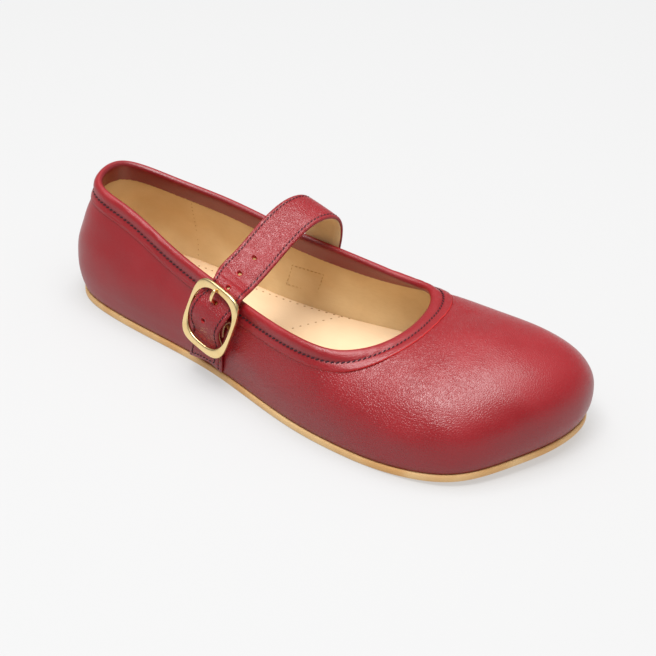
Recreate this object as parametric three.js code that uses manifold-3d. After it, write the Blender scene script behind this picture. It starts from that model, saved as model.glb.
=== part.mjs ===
// Right mary jane shoe, flat and wide at the toes: outsole, insole, one hollow upper,
// an instep strap, and a buckle with its prong, held by a short stay.
// Millimetres. +X points to the toe, +Y to the inner (big-toe) side, +Z up.
import * as THREE from 'three';
import { mergeVertices } from 'three/addons/utils/BufferGeometryUtils.js';
import Module from 'manifold-3d';

// ---- Driving sizes --------------------------------------------------------
const LENGTH = 252;          // outsole, heel to toe
const BALL_WIDTH = 97;       // outsole, across the ball of the foot
const HEEL_HEIGHT = 58.5;    // topline at the back seam, above the ground
const THROAT_HEIGHT = 42;    // topline at the front of the opening, above the ground
const SOLE_THICKNESS = 3.6;
const SOLE_MARGIN = 1.2;     // how far the outsole shows outside the upper
const TOE_SPRING = 5;        // lift of the outsole under the toe tip
const SPRING_START = 185;    // where the outsole begins to leave the ground
const SPRING_CURVE = 1.8;    // power of that lift: the higher, the slower it starts
const ARCH_RELIEF = 1.2;     // hollow under the inner waist
const ARCH_CENTRE = 100;     // how far from the heel the hollow is deepest
const ARCH_REACH = 45;       // how far it runs to the front and back of that
const ARCH_START = -10;      // where across the sole it begins
const ARCH_FULL = 24;        // and where it is full
const WALL = 1.8;            // upper leather and lining together
const INSOLE_THICKNESS = 3;
const INSOLE_FIT = 0.7;      // room between the insole and the wall
const GAP = 0.3;             // clearance between pieces that touch

const BRIDGE_WIDTH = 18.4;    // strap, over the foot
const TAIL_WIDTH = 17.4;      // strap, at its free end
const STRAP_THICKNESS = 2.4;
const STRAP_CORNER = 0.6;    // cut off each corner of its section
const STAY_WIDTH = 14;
const STAY_THICKNESS = 1.3;

const BUCKLE_X = 102.6;      // centre of the buckle on the outer side
const BUCKLE_Z = 32;
const BUCKLE_LEAN = 14;      // degrees that the strap slopes back as it goes down
const FRAME_WIDTH = 27.3;
const FRAME_HEIGHT = 32;
const SIDE_BAR = 1.8;        // width of the frame's side bars
const END_BAR = 3.2;         // and of its top and bottom bars
const FRAME_THICKNESS = 2;
const FRAME_CORNER = 0.3;    // rounding of each corner, as a share of a bar's half width
const FRAME_CENTRE = [101.06, -41.9, 33.8];    // middle of the frame's front face
const FRAME_ACROSS = [0.971, -0.123, -0.205];  // along that face to the front
const FRAME_UPWARD = [0.227, 0.214, 0.95];     // and up along the strap
const OUTER_POWER = 3.9;     // how square the frame is outside: 2 is an ellipse
const INNER_POWER = 2.7;     // and inside
const ROD_RADIUS = 0.9;      // centre bar
const ROD_STAND = 2.8;       // middle of the centre bar above the upper
const ROD_TURN = 2.2;        // how far inside the side bars it has come down
const ROD_DROP = 3.2;        // how far straight in from the frame's face it starts, at the rear
const PRONG_RADIUS = 0.8;
const PRONG_RING_WIDTH = 2.2;
const PRONG_RING_WALL = 1;
const PRONG_RING_CORNER = 0.2;
const SLOT_WIDTH = 3;        // slot in the stay's fold, for the prong
const SLOT_START = -3;
const SLOT_END = 4;
const SLOT_REACH = [-1, 8];  // heights that the slot is cut between
const STAY_FOOT = -25.6;     // end of the stay at the sole, below the centre bar
const STAY_TURN = -1.5;      // where the stay begins to turn over the bar
const TAIL_STAND = 3.2;      // middle of the strap above the upper, at its free tail

// ---- The last: one row for each section, from the sole edge up to the topline
// along, across         sole edge, in hundredths of LENGTH and of BALL_WIDTH
// out, up               how far the wall bulges out and rises before it turns in
// topAlong, topAcross   topline, in hundredths of LENGTH and of BALL_WIDTH
// rise                  topline height, 0 at THROAT_HEIGHT and 100 at HEEL_HEIGHT
// reach, drop           how far back towards the sole edge, and down, the wall heads
//                       from the topline
const COLUMNS = ['name', 'along', 'across', 'out', 'up',
  'topAlong', 'topAcross', 'rise', 'reach', 'drop'];
const SECTIONS = [
  ['heel back', 0, 1, 9, 20, 2.4, 1.5, 100, 1, 16],
  ['heel, outer corner', 2.8, -20, 10, 22, 5, -14.5, 97, 4, 16],
  ['heel, outer side', 12, -29.5, 9, 20, 13.5, -20, 78, 4, 16],
  ['rear waist, outer', 26, -33, 7, 19, 26, -25, 29, 3, 15],
  ['strap, outer', 38, -36.5, 6, 19, 38, -31, 5, 2, 14],
  ['waist, outer', 50, -43.5, 6, 19, 49, -37.5, -3, 2, 14],
  ['ball rear, outer', 60, -49, 6, 19, 58, -42, 0, 4, 13],
  ['ball, outer', 70.5, -51, 7, 20, 64.5, -41, 0, 6, 11],
  ['little toe', 82, -48.5, 8, 22, 68.5, -33, 0, 12, 7],
  ['toe, outer corner', 91, -38.5, 9, 25, 70.7, -22, 0, 22, 1],
  ['toe front, outer', 96.5, -16, 12, 30, 71.6, -8.5, 0, 34, -4],
  ['toe tip', 100, 12, 15, 33, 71.3, 5, 0, 42, -7],
  ['toe, inner corner', 98, 37, 16, 32, 70.3, 16, 0, 38, -3],
  ['big toe side', 89.5, 47.5, 12, 26, 68.5, 24.5, 0, 26, 1],
  ['ball, inner', 76.5, 48, 8, 24, 65, 29.5, 0, 15, 5],
  ['ball rear, inner', 63.5, 43.5, 6, 21, 58.5, 30, 0, 7, 9],
  ['waist, inner', 50, 35, 5, 20, 48.5, 30, 3, 3, 14],
  ['arch', 36, 30, 6, 20, 36, 28, 14, 2, 15],
  ['rear waist, inner', 24, 30.5, 7, 20, 24, 26.5, 34, 2, 15],
  ['heel, inner side', 11, 29.5, 8, 20, 12, 21, 58, 2, 16],
  ['heel, inner corner', 2.8, 19.5, 9, 20, 4.4, 13, 87, 1, 16],
];

// ---- The strap: one row for each place that its middle passes ----------------
// On the inner side it lies on the upper: along and height there, in millimetres.
const STRAP_INNER = [
  ['sewn end', 97, 11.7],
  ['low', 100, 19.7],
  ['mid', 105, 32.7],
  ['topline', 108.5, 42.7],
];
// Over the foot: place, and how many degrees its front edge tips down.
const STRAP_BRIDGE = [
  ['inner rise', 109.5, 30.8, 52.3, 8],
  ['inner shoulder', 109.5, 28, 60.2, 14],
  ['crown', 108.4, 18.5, 64.4, 17],
  ['instep', 107, 6, 62.8, 19],
  ['outer slope', 105.9, -8, 56.9, 20],
  ['outer fall', 105.6, -20, 52.1, 20],
  ['outer bend', 104.9, -29.5, 48.3, 18],
];

// Through the frame: the strap's rear and front edges across the frame's face, how far
// up it they are, and how far outward the strap's middle is.
const STRAP_FRAME = [
  [-7.6, 10.4, 15.5, -3.6],
  [-8.3, 9.9, 12.7, -3.7],
  [-8.9, 9.5, 10.1, -3.55],
  [-9.8, 9, 7.5, -2.3],
  [-10.7, 8.6, 4.5, -0.7],
  [-11.2, 8.1, 1.5, -0.1],
  [-11.3, 7.6, -1.5, -0.1],
  [-10.9, 7.5, -4.5, -0.7],
  [-10, 8, -7.5, -2.1],
  [-9, 8.6, -10.3, -3.6],
  [-8.7, 8.7, -13, -3.9],
];
// The free tail, cut obliquely: its rear edge and front edge below the centre bar,
// and how far to the front it lies.
const STRAP_TAIL = [
  [-16, -16, -0.2],
  [-20, -18.5, -0.4],
  [-24.5, -20, -0.9],
  [-28.6, -21.2, -1.5],
];

// ---- The prong's pin and the short end of the stay -------------------------------
// across, above the centre bar, and height above the upper
const PRONG_RISE = [
  [0, 1.8, 2.8],
  [0, 3.2, 3],
];
// across, above the middle, and outward from the frame's face
const PRONG_REST = [
  [-0.6, 5.3, -4.1],
  [-1.4, 6.9, -2.2],
  [-1.75, 8.6, 0.1],
  [-1.7, 11, 1.2],
  [-1.7, 14.4, GAP + PRONG_RADIUS],
];
// above the centre bar, and height above the upper
const STAY_LEAD = [
  [-2, 4.35],
  [-3.8, 3.65],
  [-5.4, 2.75],
];

// ---- Mesh steps -----------------------------------------------------------
const AROUND = 96;           // around the upper
const UP_WALL = 10;          // from the sole edge to the topline
const ALONG_SOLE = 44;       // from heel to toe
const ACROSS_SOLE = 6;
const EDGE_SEARCH = 2000;    // turns tried for the ends of the sole edge
const EDGE_HALVINGS = 40;    // steps to find where the sole edge passes a place
const EDGE_LEAD = 0.1;       // how far before the heel that search begins
const SIDE_SOLVES = 10;      // steps to find a place on the side of the upper
const BLUNT_END = 0.015;     // share of half a turn cut off at each end of a plate
const STAY_STEPS = 8;        // along the stay, and again around its fold
const STAY_ACROSS = 4;
const STRAP_STEPS = 72;
const FRAME_STEPS = 56;
const ROD_STEPS = 24;
const PRONG_STEPS = 14;
const BAR_SIDES = 8;

const wasm = await Module();
wasm.setup();

// ---- Periodic cubic spline through the rows -------------------------------
function solveLinear(matrix, right) {
  const n = right.length;
  const rows = matrix.map((row, i) => [...row, right[i]]);
  for (let col = 0; col < n; col++) {
    for (let row = col + 1; row < n; row++) {
      const factor = rows[row][col] / rows[col][col];
      for (let k = col; k <= n; k++) rows[row][k] -= factor * rows[col][k];
    }
  }
  const answer = new Array(n).fill(0);
  for (let row = n - 1; row >= 0; row--) {
    let sum = rows[row][n];
    for (let k = row + 1; k < n; k++) sum -= rows[row][k] * answer[k];
    answer[row] = sum / rows[row][row];
  }
  return answer;
}

// Returns f(u), u from 0 to 1 around the loop; knots are where each value lies on it.
function periodicSpline(knots, values) {
  const n = values.length;
  const next = (i) => (i + 1) % n;
  const span = knots.map((knot, i) => (i + 1 < n ? knots[i + 1] : 1) - knot);
  const slope = values.map((value, i) => (values[next(i)] - value) / span[i]);
  const matrix = values.map(() => new Array(n).fill(0));
  const right = values.map((_, i) => {
    const before = (i + n - 1) % n;
    matrix[i][before] += span[before];
    matrix[i][i] += 2 * (span[before] + span[i]);
    matrix[i][next(i)] += span[i];
    return 6 * (slope[i] - slope[before]);
  });
  const bend = solveLinear(matrix, right);
  return (u) => {
    const turn = u - Math.floor(u);
    let i = n - 1;
    while (knots[i] > turn) i--;
    const d = turn - knots[i];
    const h = span[i];
    const j = next(i);
    const first = slope[i] - h * (2 * bend[i] + bend[j]) / 6;
    return values[i] + d * (first + d * (bend[i] / 2 + d * (bend[j] - bend[i]) / (6 * h)));
  };
}

const rows = SECTIONS.map((row) => Object.fromEntries(row.map((v, i) => [COLUMNS[i], v])));
const sole = rows.map((r) => new THREE.Vector2(r.along * LENGTH / 100,
  r.across * BALL_WIDTH / 100));
const steps = sole.map((p, i) => p.distanceTo(sole[(i + 1) % sole.length]));
const girth = steps.reduce((a, b) => a + b, 0);
const knots = steps.map((_, i) => steps.slice(0, i).reduce((a, b) => a + b, 0) / girth);
const knotOf = (name) => knots[rows.findIndex((r) => r.name === name)];
const track = (value) => periodicSpline(knots, rows.map(value));

const curve = {
  x: track((r) => r.along * LENGTH / 100),
  y: track((r) => r.across * BALL_WIDTH / 100),
  out: track((r) => r.out),
  up: track((r) => r.up),
  topX: track((r) => r.topAlong * LENGTH / 100),
  topY: track((r) => r.topAcross * BALL_WIDTH / 100),
  topZ: track((r) => THREE.MathUtils.lerp(THROAT_HEIGHT, HEEL_HEIGHT, r.rise / 100)),
  reach: track((r) => r.reach),
  drop: track((r) => r.drop),
};

// Height of the outsole's underside: flat from the heel to the ball, then toe spring.
function springAt(x) {
  const t = Math.max((x - SPRING_START) / (LENGTH - SPRING_START), 0);
  return TOE_SPRING * t ** SPRING_CURVE;
}

// The sole edge moved inward in plan by `inset`.
function solePoint(u, inset) {
  const du = 1e-4;
  const tangent = new THREE.Vector2(curve.x(u + du) - curve.x(u - du),
    curve.y(u + du) - curve.y(u - du)).normalize();
  const outward = new THREE.Vector2(tangent.y, -tangent.x);
  return new THREE.Vector2(curve.x(u), curve.y(u)).addScaledVector(outward, -inset);
}

// The upper's outer face: u around the shoe, v from the sole edge (0) to the topline (1)
// and straight on beyond it.
function lastPoint(u, v) {
  const foot = solePoint(u, SOLE_MARGIN);
  const wide = solePoint(u, SOLE_MARGIN - curve.out(u));
  const base = springAt(foot.x) + SOLE_THICKNESS + GAP;
  const a = new THREE.Vector3(foot.x, foot.y, base);
  const b = new THREE.Vector3(wide.x, wide.y, base + curve.up(u));
  const d = new THREE.Vector3(curve.topX(u), curve.topY(u), curve.topZ(u));
  const back = new THREE.Vector3(a.x - d.x, a.y - d.y, 0).normalize();
  const c = d.clone().addScaledVector(back, curve.reach(u));
  c.z -= curve.drop(u);
  if (v > 1) return d.clone().addScaledVector(d.clone().sub(c), 3 * (v - 1));
  return new THREE.CubicBezierCurve3(a, b, c, d).getPoint(v);
}

function lastNormal(u, v) {
  const du = 1e-4;
  const v0 = THREE.MathUtils.clamp(v - 1e-3, 0, 1 - 2e-3);
  const around = lastPoint(u + du, v).sub(lastPoint(u - du, v));
  const upward = lastPoint(u, v0 + 2e-3).sub(lastPoint(u, v0));
  return around.cross(upward).normalize();
}

// The point at this x and z on the side of the upper near u0, moved outwards by `stand`.
function onSide(x, z, stand, u0) {
  const d = 1e-4;
  let u = u0;
  let v = 0.5;
  for (let i = 0; i < SIDE_SOLVES; i++) {
    const p = lastPoint(u, v);
    const alongU = lastPoint(u + d, v).sub(p).divideScalar(d);
    const alongV = lastPoint(u, v + d).sub(p).divideScalar(d);
    const area = alongU.x * alongV.z - alongV.x * alongU.z;
    const dx = x - p.x;
    const dz = z - p.z;
    u += (dx * alongV.z - dz * alongV.x) / area;
    v += (dz * alongU.x - dx * alongU.z) / area;
  }
  return lastPoint(u, v).addScaledVector(lastNormal(u, v), stand);
}

// The buckle's own places: a across the strap to the front, b up along the strap,
// both from the buckle's centre, and h above the upper's outer face.
const lean = THREE.MathUtils.degToRad(BUCKLE_LEAN);
const outerSide = knotOf('strap, outer');
const innerSide = knotOf('arch');
function atBuckle(a, b, h) {
  return onSide(BUCKLE_X + a * Math.cos(lean) + b * Math.sin(lean),
    BUCKLE_Z - a * Math.sin(lean) + b * Math.cos(lean), h, outerSide);
}

// ---- Closed meshes from rings of points --------------------------------------
class Solid {
  constructor() {
    this.points = [];
    this.faces = [];
  }

  point(p) {
    return this.points.push(p.x, p.y, p.z) / 3 - 1;
  }

  // Four corners, anticlockwise as seen from outside.
  quad(a, b, c, d) {
    this.faces.push(a, b, c, a, c, d);
  }

  // Joins two rings of equal length; nextRing is anticlockwise as seen from `ring`.
  band(ring, nextRing) {
    ring.forEach((p, i) => {
      const k = (i + 1) % ring.length;
      this.quad(p, nextRing[i], nextRing[k], ring[k]);
    });
  }

  // Closes a ring that runs out along one row of places and back along another.
  cap(ring) {
    const last = ring.length - 1;
    for (let i = 0; i < (last - 1) / 2; i++) {
      this.quad(ring[i], ring[i + 1], ring[last - i - 1], ring[last - i]);
    }
  }

  geometry() {
    const made = new THREE.BufferGeometry();
    made.setAttribute('position', new THREE.Float32BufferAttribute(this.points, 3));
    made.setIndex(this.faces);
    return mergeVertices(made, 1e-4);
  }
}

// Turns a row of rings, each anticlockwise as seen from the one before it, into a solid:
// closed on itself, or capped at both ends.
function fromRings(rings, closed) {
  const solid = new Solid();
  const ids = rings.map((ring) => ring.map((p) => solid.point(p)));
  for (let i = 1; i < ids.length; i++) solid.band(ids[i - 1], ids[i]);
  if (closed) {
    solid.band(ids[ids.length - 1], ids[0]);
  } else {
    solid.cap(ids[0]);
    solid.cap([...ids[ids.length - 1]].reverse());
  }
  return solid.geometry();
}

function toManifold(geometry) {
  return new wasm.Manifold(new wasm.Mesh({
    numProp: 3,
    vertProperties: Float32Array.from(geometry.attributes.position.array),
    triVerts: Uint32Array.from(geometry.index.array),
  }));
}

function fromManifold(solid) {
  const { vertProperties, triVerts } = solid.getMesh();
  const made = new THREE.BufferGeometry();
  made.setAttribute('position', new THREE.BufferAttribute(vertProperties, 3));
  made.setIndex(new THREE.BufferAttribute(triVerts, 1));
  return made;
}

function part(name, geometry, color, roughness, metalness = 0) {
  geometry.computeVertexNormals();
  const material = new THREE.MeshStandardMaterial({ color, roughness, metalness });
  const made = new THREE.Mesh(geometry, material);
  made.name = name;
  return made;
}

// A flat section with cut corners: half width, half height, corner cut.
function barSection(w, h, cut) {
  return [[cut - w, -h], [w - cut, -h], [w, cut - h], [w, h - cut],
    [w - cut, h], [cut - w, h], [-w, h - cut], [-w, cut - h]];
}

function roundSection(radius) {
  return Array.from({ length: BAR_SIDES }, (_, i) => {
    const turn = 2 * Math.PI * i / BAR_SIDES;
    return [radius * Math.cos(turn), radius * Math.sin(turn)];
  });
}

// ---- Outsole and insole -----------------------------------------------------
// A plate inside the sole edge, from its heel to its toe, between two heights.
function plateGeometry(inset, low, high) {
  const turns = Array.from({ length: EDGE_SEARCH }, (_, i) => i / EDGE_SEARCH - EDGE_LEAD);
  const xAt = (u) => solePoint(u, inset).x;
  const heel = turns.reduce((best, u) => (xAt(u) < xAt(best) ? u : best));
  const toe = turns.reduce((best, u) => (xAt(u) > xAt(best) ? u : best));
  // Where the edge passes x, between the heel's turn and the toe's.
  const edgeAt = (x, from) => {
    let [near, far] = [from, toe];
    for (let i = 0; i < EDGE_HALVINGS; i++) {
      const middle = (near + far) / 2;
      if (xAt(middle) < x) near = middle; else far = middle;
    }
    return solePoint(near, inset);
  };
  const rings = Array.from({ length: ALONG_SOLE + 1 }, (_, i) => {
    const swing = Math.PI * THREE.MathUtils.lerp(BLUNT_END, 1 - BLUNT_END, i / ALONG_SOLE);
    const x = THREE.MathUtils.lerp(xAt(heel), xAt(toe), (1 - Math.cos(swing)) / 2);
    const inner = edgeAt(x, heel + 1);
    const outer = edgeAt(x, heel);
    const across = Array.from({ length: ACROSS_SOLE + 1 },
      (_, j) => inner.clone().lerp(outer, j / ACROSS_SOLE));
    return [
      ...across.map((p) => new THREE.Vector3(p.x, p.y, low(p.x, p.y))),
      ...across.reverse().map((p) => new THREE.Vector3(p.x, p.y, high(p.x, p.y))),
    ];
  });
  return fromRings(rings, false);
}

// The hollow under the inner waist, nothing at the outer edge.
function archAt(x, y) {
  const along = Math.max(1 - ((x - ARCH_CENTRE) / ARCH_REACH) ** 2, 0) ** 2;
  const across = THREE.MathUtils.smoothstep(y, ARCH_START, ARCH_FULL);
  return ARCH_RELIEF * along * across;
}

const soleTop = (x) => springAt(x) + SOLE_THICKNESS;
const outsole = plateGeometry(0, (x, y) => springAt(x) + archAt(x, y), soleTop);
const insole = plateGeometry(SOLE_MARGIN + WALL + INSOLE_FIT,
  (x) => soleTop(x) + GAP, (x) => soleTop(x) + GAP + INSOLE_THICKNESS);

// ---- Upper -----------------------------------------------------------------
function upperGeometry() {
  const rings = Array.from({ length: AROUND }, (_, i) => {
    const u = i / AROUND;
    const outer = [];
    const inner = [];
    for (let j = 0; j <= UP_WALL; j++) {
      const p = lastPoint(u, j / UP_WALL);
      const q = p.clone().addScaledVector(lastNormal(u, j / UP_WALL), -WALL);
      if (j === 0) q.z = p.z;
      outer.push(p);
      inner.push(q);
    }
    return [...outer, ...inner.reverse()];
  });
  return fromRings(rings, true);
}

// A place on the frame's flat face: across it, up along it, and outward from it.
const frameAcross = new THREE.Vector3(...FRAME_ACROSS).normalize();
const frameUpward = new THREE.Vector3(...FRAME_UPWARD);
frameUpward.addScaledVector(frameAcross, -frameUpward.dot(frameAcross)).normalize();
const frameOutward = frameAcross.clone().cross(frameUpward);
function onFrame(a, b, h) {
  return new THREE.Vector3(...FRAME_CENTRE).addScaledVector(frameAcross, a)
    .addScaledVector(frameUpward, b).addScaledVector(frameOutward, h);
}

// ---- Strap -----------------------------------------------------------------
const half = TAIL_WIDTH / 2;
const wide = BRIDGE_WIDTH / 2;
const strapRows = [];   // middle of the strap, the direction of its width, half its width
for (const [, x, z] of STRAP_INNER) {
  const stand = 2 * GAP + STRAP_THICKNESS / 2;
  const rear = onSide(x - wide * Math.cos(lean), z + wide * Math.sin(lean), stand, innerSide);
  const front = onSide(x + wide * Math.cos(lean), z - wide * Math.sin(lean), stand, innerSide);
  strapRows.push([rear.clone().lerp(front, 0.5), front.sub(rear).normalize(), wide]);
}
for (const [, x, y, z, tip] of STRAP_BRIDGE) {
  const angle = THREE.MathUtils.degToRad(tip);
  strapRows.push([new THREE.Vector3(x, y, z),
    new THREE.Vector3(Math.cos(angle), 0, -Math.sin(angle)), wide]);
}
function strapRow(rear, front) {
  strapRows.push([rear.clone().lerp(front, 0.5), front.clone().sub(rear).normalize(),
    front.distanceTo(rear) / 2]);
}
for (const [rear, front, b, h] of STRAP_FRAME) strapRow(onFrame(rear, b, h), onFrame(front, b, h));
for (const [rear, front, aside] of STRAP_TAIL) {
  strapRow(atBuckle(aside - half, rear, TAIL_STAND), atBuckle(aside + half, front, TAIL_STAND));
}
const strapPath = new THREE.CatmullRomCurve3(strapRows.map(([p]) => p));
const strapAcross = new THREE.CatmullRomCurve3(strapRows.map(([, w]) => w));
const strapHalf = new THREE.CatmullRomCurve3(
  strapRows.map(([, , reach]) => new THREE.Vector3(reach, 0, 0)));

function strapGeometry() {
  const rings = Array.from({ length: STRAP_STEPS + 1 }, (_, i) => {
    const t = i / STRAP_STEPS;
    const middle = strapPath.getPoint(t);
    const across = strapAcross.getPoint(t).normalize();
    const outward = across.clone().cross(strapPath.getTangent(t)).normalize();
    const section = barSection(strapHalf.getPoint(t).x, STRAP_THICKNESS / 2, STRAP_CORNER);
    return section.map(([w, h]) => middle.clone()
      .addScaledVector(across, w).addScaledVector(outward, h));
  });
  return fromRings(rings, false);
}

// ---- Buckle ----------------------------------------------------------------
// A bar through points, with a section in a plane across it.
function barAt(points, section, count) {
  const path = new THREE.CatmullRomCurve3(points);
  const side = new THREE.Vector3();
  const rings = Array.from({ length: count + 1 }, (_, i) => {
    const tangent = path.getTangent(i / count);
    if (i === 0) side.set(tangent.z, tangent.x, tangent.y);
    side.addScaledVector(tangent, -side.dot(tangent)).normalize();
    const up = side.clone().cross(tangent);
    const middle = path.getPoint(i / count);
    return section.map(([w, h]) => middle.clone()
      .addScaledVector(side, w).addScaledVector(up, h));
  });
  return fromRings(rings, false);
}

function frameGeometry() {
  const section = barSection(1, FRAME_THICKNESS / 2, FRAME_CORNER);
  const squared = (value, power) => Math.sign(value) * Math.abs(value) ** (2 / power);
  const rings = Array.from({ length: FRAME_STEPS }, (_, i) => {
    const turn = 2 * Math.PI * i / FRAME_STEPS;
    const place = (width, height, power) => [
      width / 2 * squared(Math.cos(turn), power), height / 2 * squared(Math.sin(turn), power)];
    const outer = place(FRAME_WIDTH, FRAME_HEIGHT, OUTER_POWER);
    const inner = place(FRAME_WIDTH - 2 * SIDE_BAR, FRAME_HEIGHT - 2 * END_BAR, INNER_POWER);
    return section.map(([w, h]) => onFrame(
      THREE.MathUtils.lerp(inner[0], outer[0], (1 + w) / 2),
      THREE.MathUtils.lerp(inner[1], outer[1], (1 + w) / 2), h - FRAME_THICKNESS / 2));
  });
  const end = (FRAME_WIDTH - SIDE_BAR) / 2;
  const rod = barAt([onFrame(-end, 0, -FRAME_THICKNESS / 2), onFrame(-end, 0, -ROD_DROP),
    atBuckle(ROD_TURN - end, 0, ROD_STAND), atBuckle(-end / 2, 0, ROD_STAND),
    atBuckle(0, 0, ROD_STAND), atBuckle(end / 2, 0, ROD_STAND),
    atBuckle(end - ROD_TURN, 0, ROD_STAND), onFrame(end, 0, -FRAME_THICKNESS / 2)],
  roundSection(ROD_RADIUS), ROD_STEPS);
  return toManifold(fromRings(rings, true)).add(toManifold(rod));
}

// The prong: a ring around the centre bar and a pin up through the strap to the frame.
const prongRun = [...PRONG_RISE.map((p) => atBuckle(...p)),
  ...PRONG_REST.map((p) => onFrame(...p))];
function prongGeometry() {
  const section = barSection(PRONG_RING_WIDTH / 2, PRONG_RING_WALL / 2, PRONG_RING_CORNER);
  const middle = ROD_RADIUS + GAP + PRONG_RING_WALL / 2;
  const ring = Array.from({ length: PRONG_STEPS }, (_, i) => {
    const turn = 2 * Math.PI * i / PRONG_STEPS;
    return section.map(([w, r]) => atBuckle(w, (middle + r) * Math.cos(turn),
      ROD_STAND - (middle + r) * Math.sin(turn)));
  });
  const pin = barAt(prongRun, roundSection(PRONG_RADIUS), PRONG_STEPS);
  return toManifold(fromRings(ring, true)).add(toManifold(pin));
}

// ---- Stay: a strip up from the sole, folded over the centre bar ------------------
function stayGeometry() {
  const wrap = ROD_RADIUS + GAP + STAY_THICKNESS / 2;
  const run = [];   // b and h along the middle of the strip
  for (let i = 0; i <= STAY_STEPS; i++) {
    run.push([THREE.MathUtils.lerp(STAY_FOOT, STAY_TURN, i / STAY_STEPS), ROD_STAND - wrap]);
  }
  for (let i = 0; i <= STAY_STEPS; i++) {
    const turn = Math.PI * (i / STAY_STEPS - 0.5);
    run.push([wrap * Math.cos(turn), ROD_STAND + wrap * Math.sin(turn)]);
  }
  run.push(...STAY_LEAD);
  const rings = run.map(([b, h], i) => {
    const before = run[Math.max(i - 1, 0)];
    const after = run[Math.min(i + 1, run.length - 1)];
    const along = new THREE.Vector2(after[0] - before[0], after[1] - before[1]).normalize();
    const row = (side) => Array.from({ length: STAY_ACROSS + 1 }, (_, j) => atBuckle(
      STAY_WIDTH * (j / STAY_ACROSS - 0.5),
      b + side * along.y * STAY_THICKNESS / 2, h - side * along.x * STAY_THICKNESS / 2));
    return [...row(1), ...row(-1).reverse()];
  });
  const [low, high] = SLOT_REACH;
  const slot = [SLOT_START, SLOT_END].map((b) => [
    atBuckle(-SLOT_WIDTH / 2, b, low), atBuckle(SLOT_WIDTH / 2, b, low),
    atBuckle(SLOT_WIDTH / 2, b, high), atBuckle(-SLOT_WIDTH / 2, b, high)]);
  return toManifold(fromRings(rings, false)).subtract(toManifold(fromRings(slot, false)));
}

function strapWithHole() {
  const hole = barAt(prongRun, roundSection(PRONG_RADIUS + GAP), PRONG_STEPS);
  return toManifold(strapGeometry()).subtract(toManifold(hole));
}

// ---- The shoe ----------------------------------------------------------------
const shoe = new THREE.Group();
shoe.add(part('outsole', outsole, 0xd4aa7a, 0.6));
shoe.add(part('insole', insole, 0xe8caa0, 0.7));
shoe.add(part('upper', upperGeometry(), 0x8f2d31, 0.45));
shoe.add(part('strap', fromManifold(strapWithHole()), 0xa03a3e, 0.45));
shoe.add(part('buckle_stay', fromManifold(stayGeometry()), 0x8f2d31, 0.45));
shoe.add(part('buckle_frame', fromManifold(frameGeometry()), 0xf0d2a8, 0.25, 1));
shoe.add(part('buckle_prong', fromManifold(prongGeometry()), 0xf0d2a8, 0.25, 1));

// The origin is under the middle of the shoe, on the ground.
const box = new THREE.Box3().setFromObject(shoe);
const middle = box.getCenter(new THREE.Vector3());
for (const piece of shoe.children) piece.geometry.translate(-middle.x, -middle.y, -box.min.z);
export default shoe;
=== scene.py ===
"""A right mary jane shoe, flat and wide at the toes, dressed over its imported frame.

Sizes are in millimetres from the back of the heel; meshes are made in metres.
"""
import logging
import math
from dataclasses import dataclass, field
from enum import Enum
from functools import partial
from typing import Callable, NamedTuple

import bmesh
import bpy
import numpy as np
from mathutils import Matrix, Vector


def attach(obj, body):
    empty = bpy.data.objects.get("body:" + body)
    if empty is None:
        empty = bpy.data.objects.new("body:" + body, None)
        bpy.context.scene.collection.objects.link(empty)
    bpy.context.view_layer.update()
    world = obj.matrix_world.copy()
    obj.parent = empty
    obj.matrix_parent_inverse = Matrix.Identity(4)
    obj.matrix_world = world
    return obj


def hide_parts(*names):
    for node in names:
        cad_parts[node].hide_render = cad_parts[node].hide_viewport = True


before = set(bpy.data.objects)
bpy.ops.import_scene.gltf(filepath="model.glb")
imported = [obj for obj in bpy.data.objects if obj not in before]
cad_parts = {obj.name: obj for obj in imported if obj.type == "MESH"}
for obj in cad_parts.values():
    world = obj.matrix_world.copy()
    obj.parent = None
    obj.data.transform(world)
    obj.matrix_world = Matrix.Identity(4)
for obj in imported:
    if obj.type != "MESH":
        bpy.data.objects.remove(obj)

MM = 0.001
BODY = "root"
UP = "surface_up"
log = logging.getLogger("mary_jane")
Colour = tuple[float, float, float, float]
Pair = tuple[float, float]
Triple = tuple[float, float, float]
Array = np.ndarray
Piece = bpy.types.Object
Finish = bpy.types.Material
Socket = bpy.types.NodeSocket
Height = Callable[[Array, Array], Array]


class Mark(Enum):
    """What a row along a seam is made of."""

    THREAD = "thread"
    PINHOLE = "pinhole"


# ---------------- the last

class Section(NamedTuple):
    """One row of the last, from the sole edge up to the topline.

    along and top_along are in hundredths of the length, across and top_across in
    hundredths of the ball width, rise from 0 at the throat to 100 at the heel.
    """

    name: str
    along: float
    across: float
    out: float
    up: float
    top_along: float
    top_across: float
    rise: float
    reach: float
    drop: float


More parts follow.
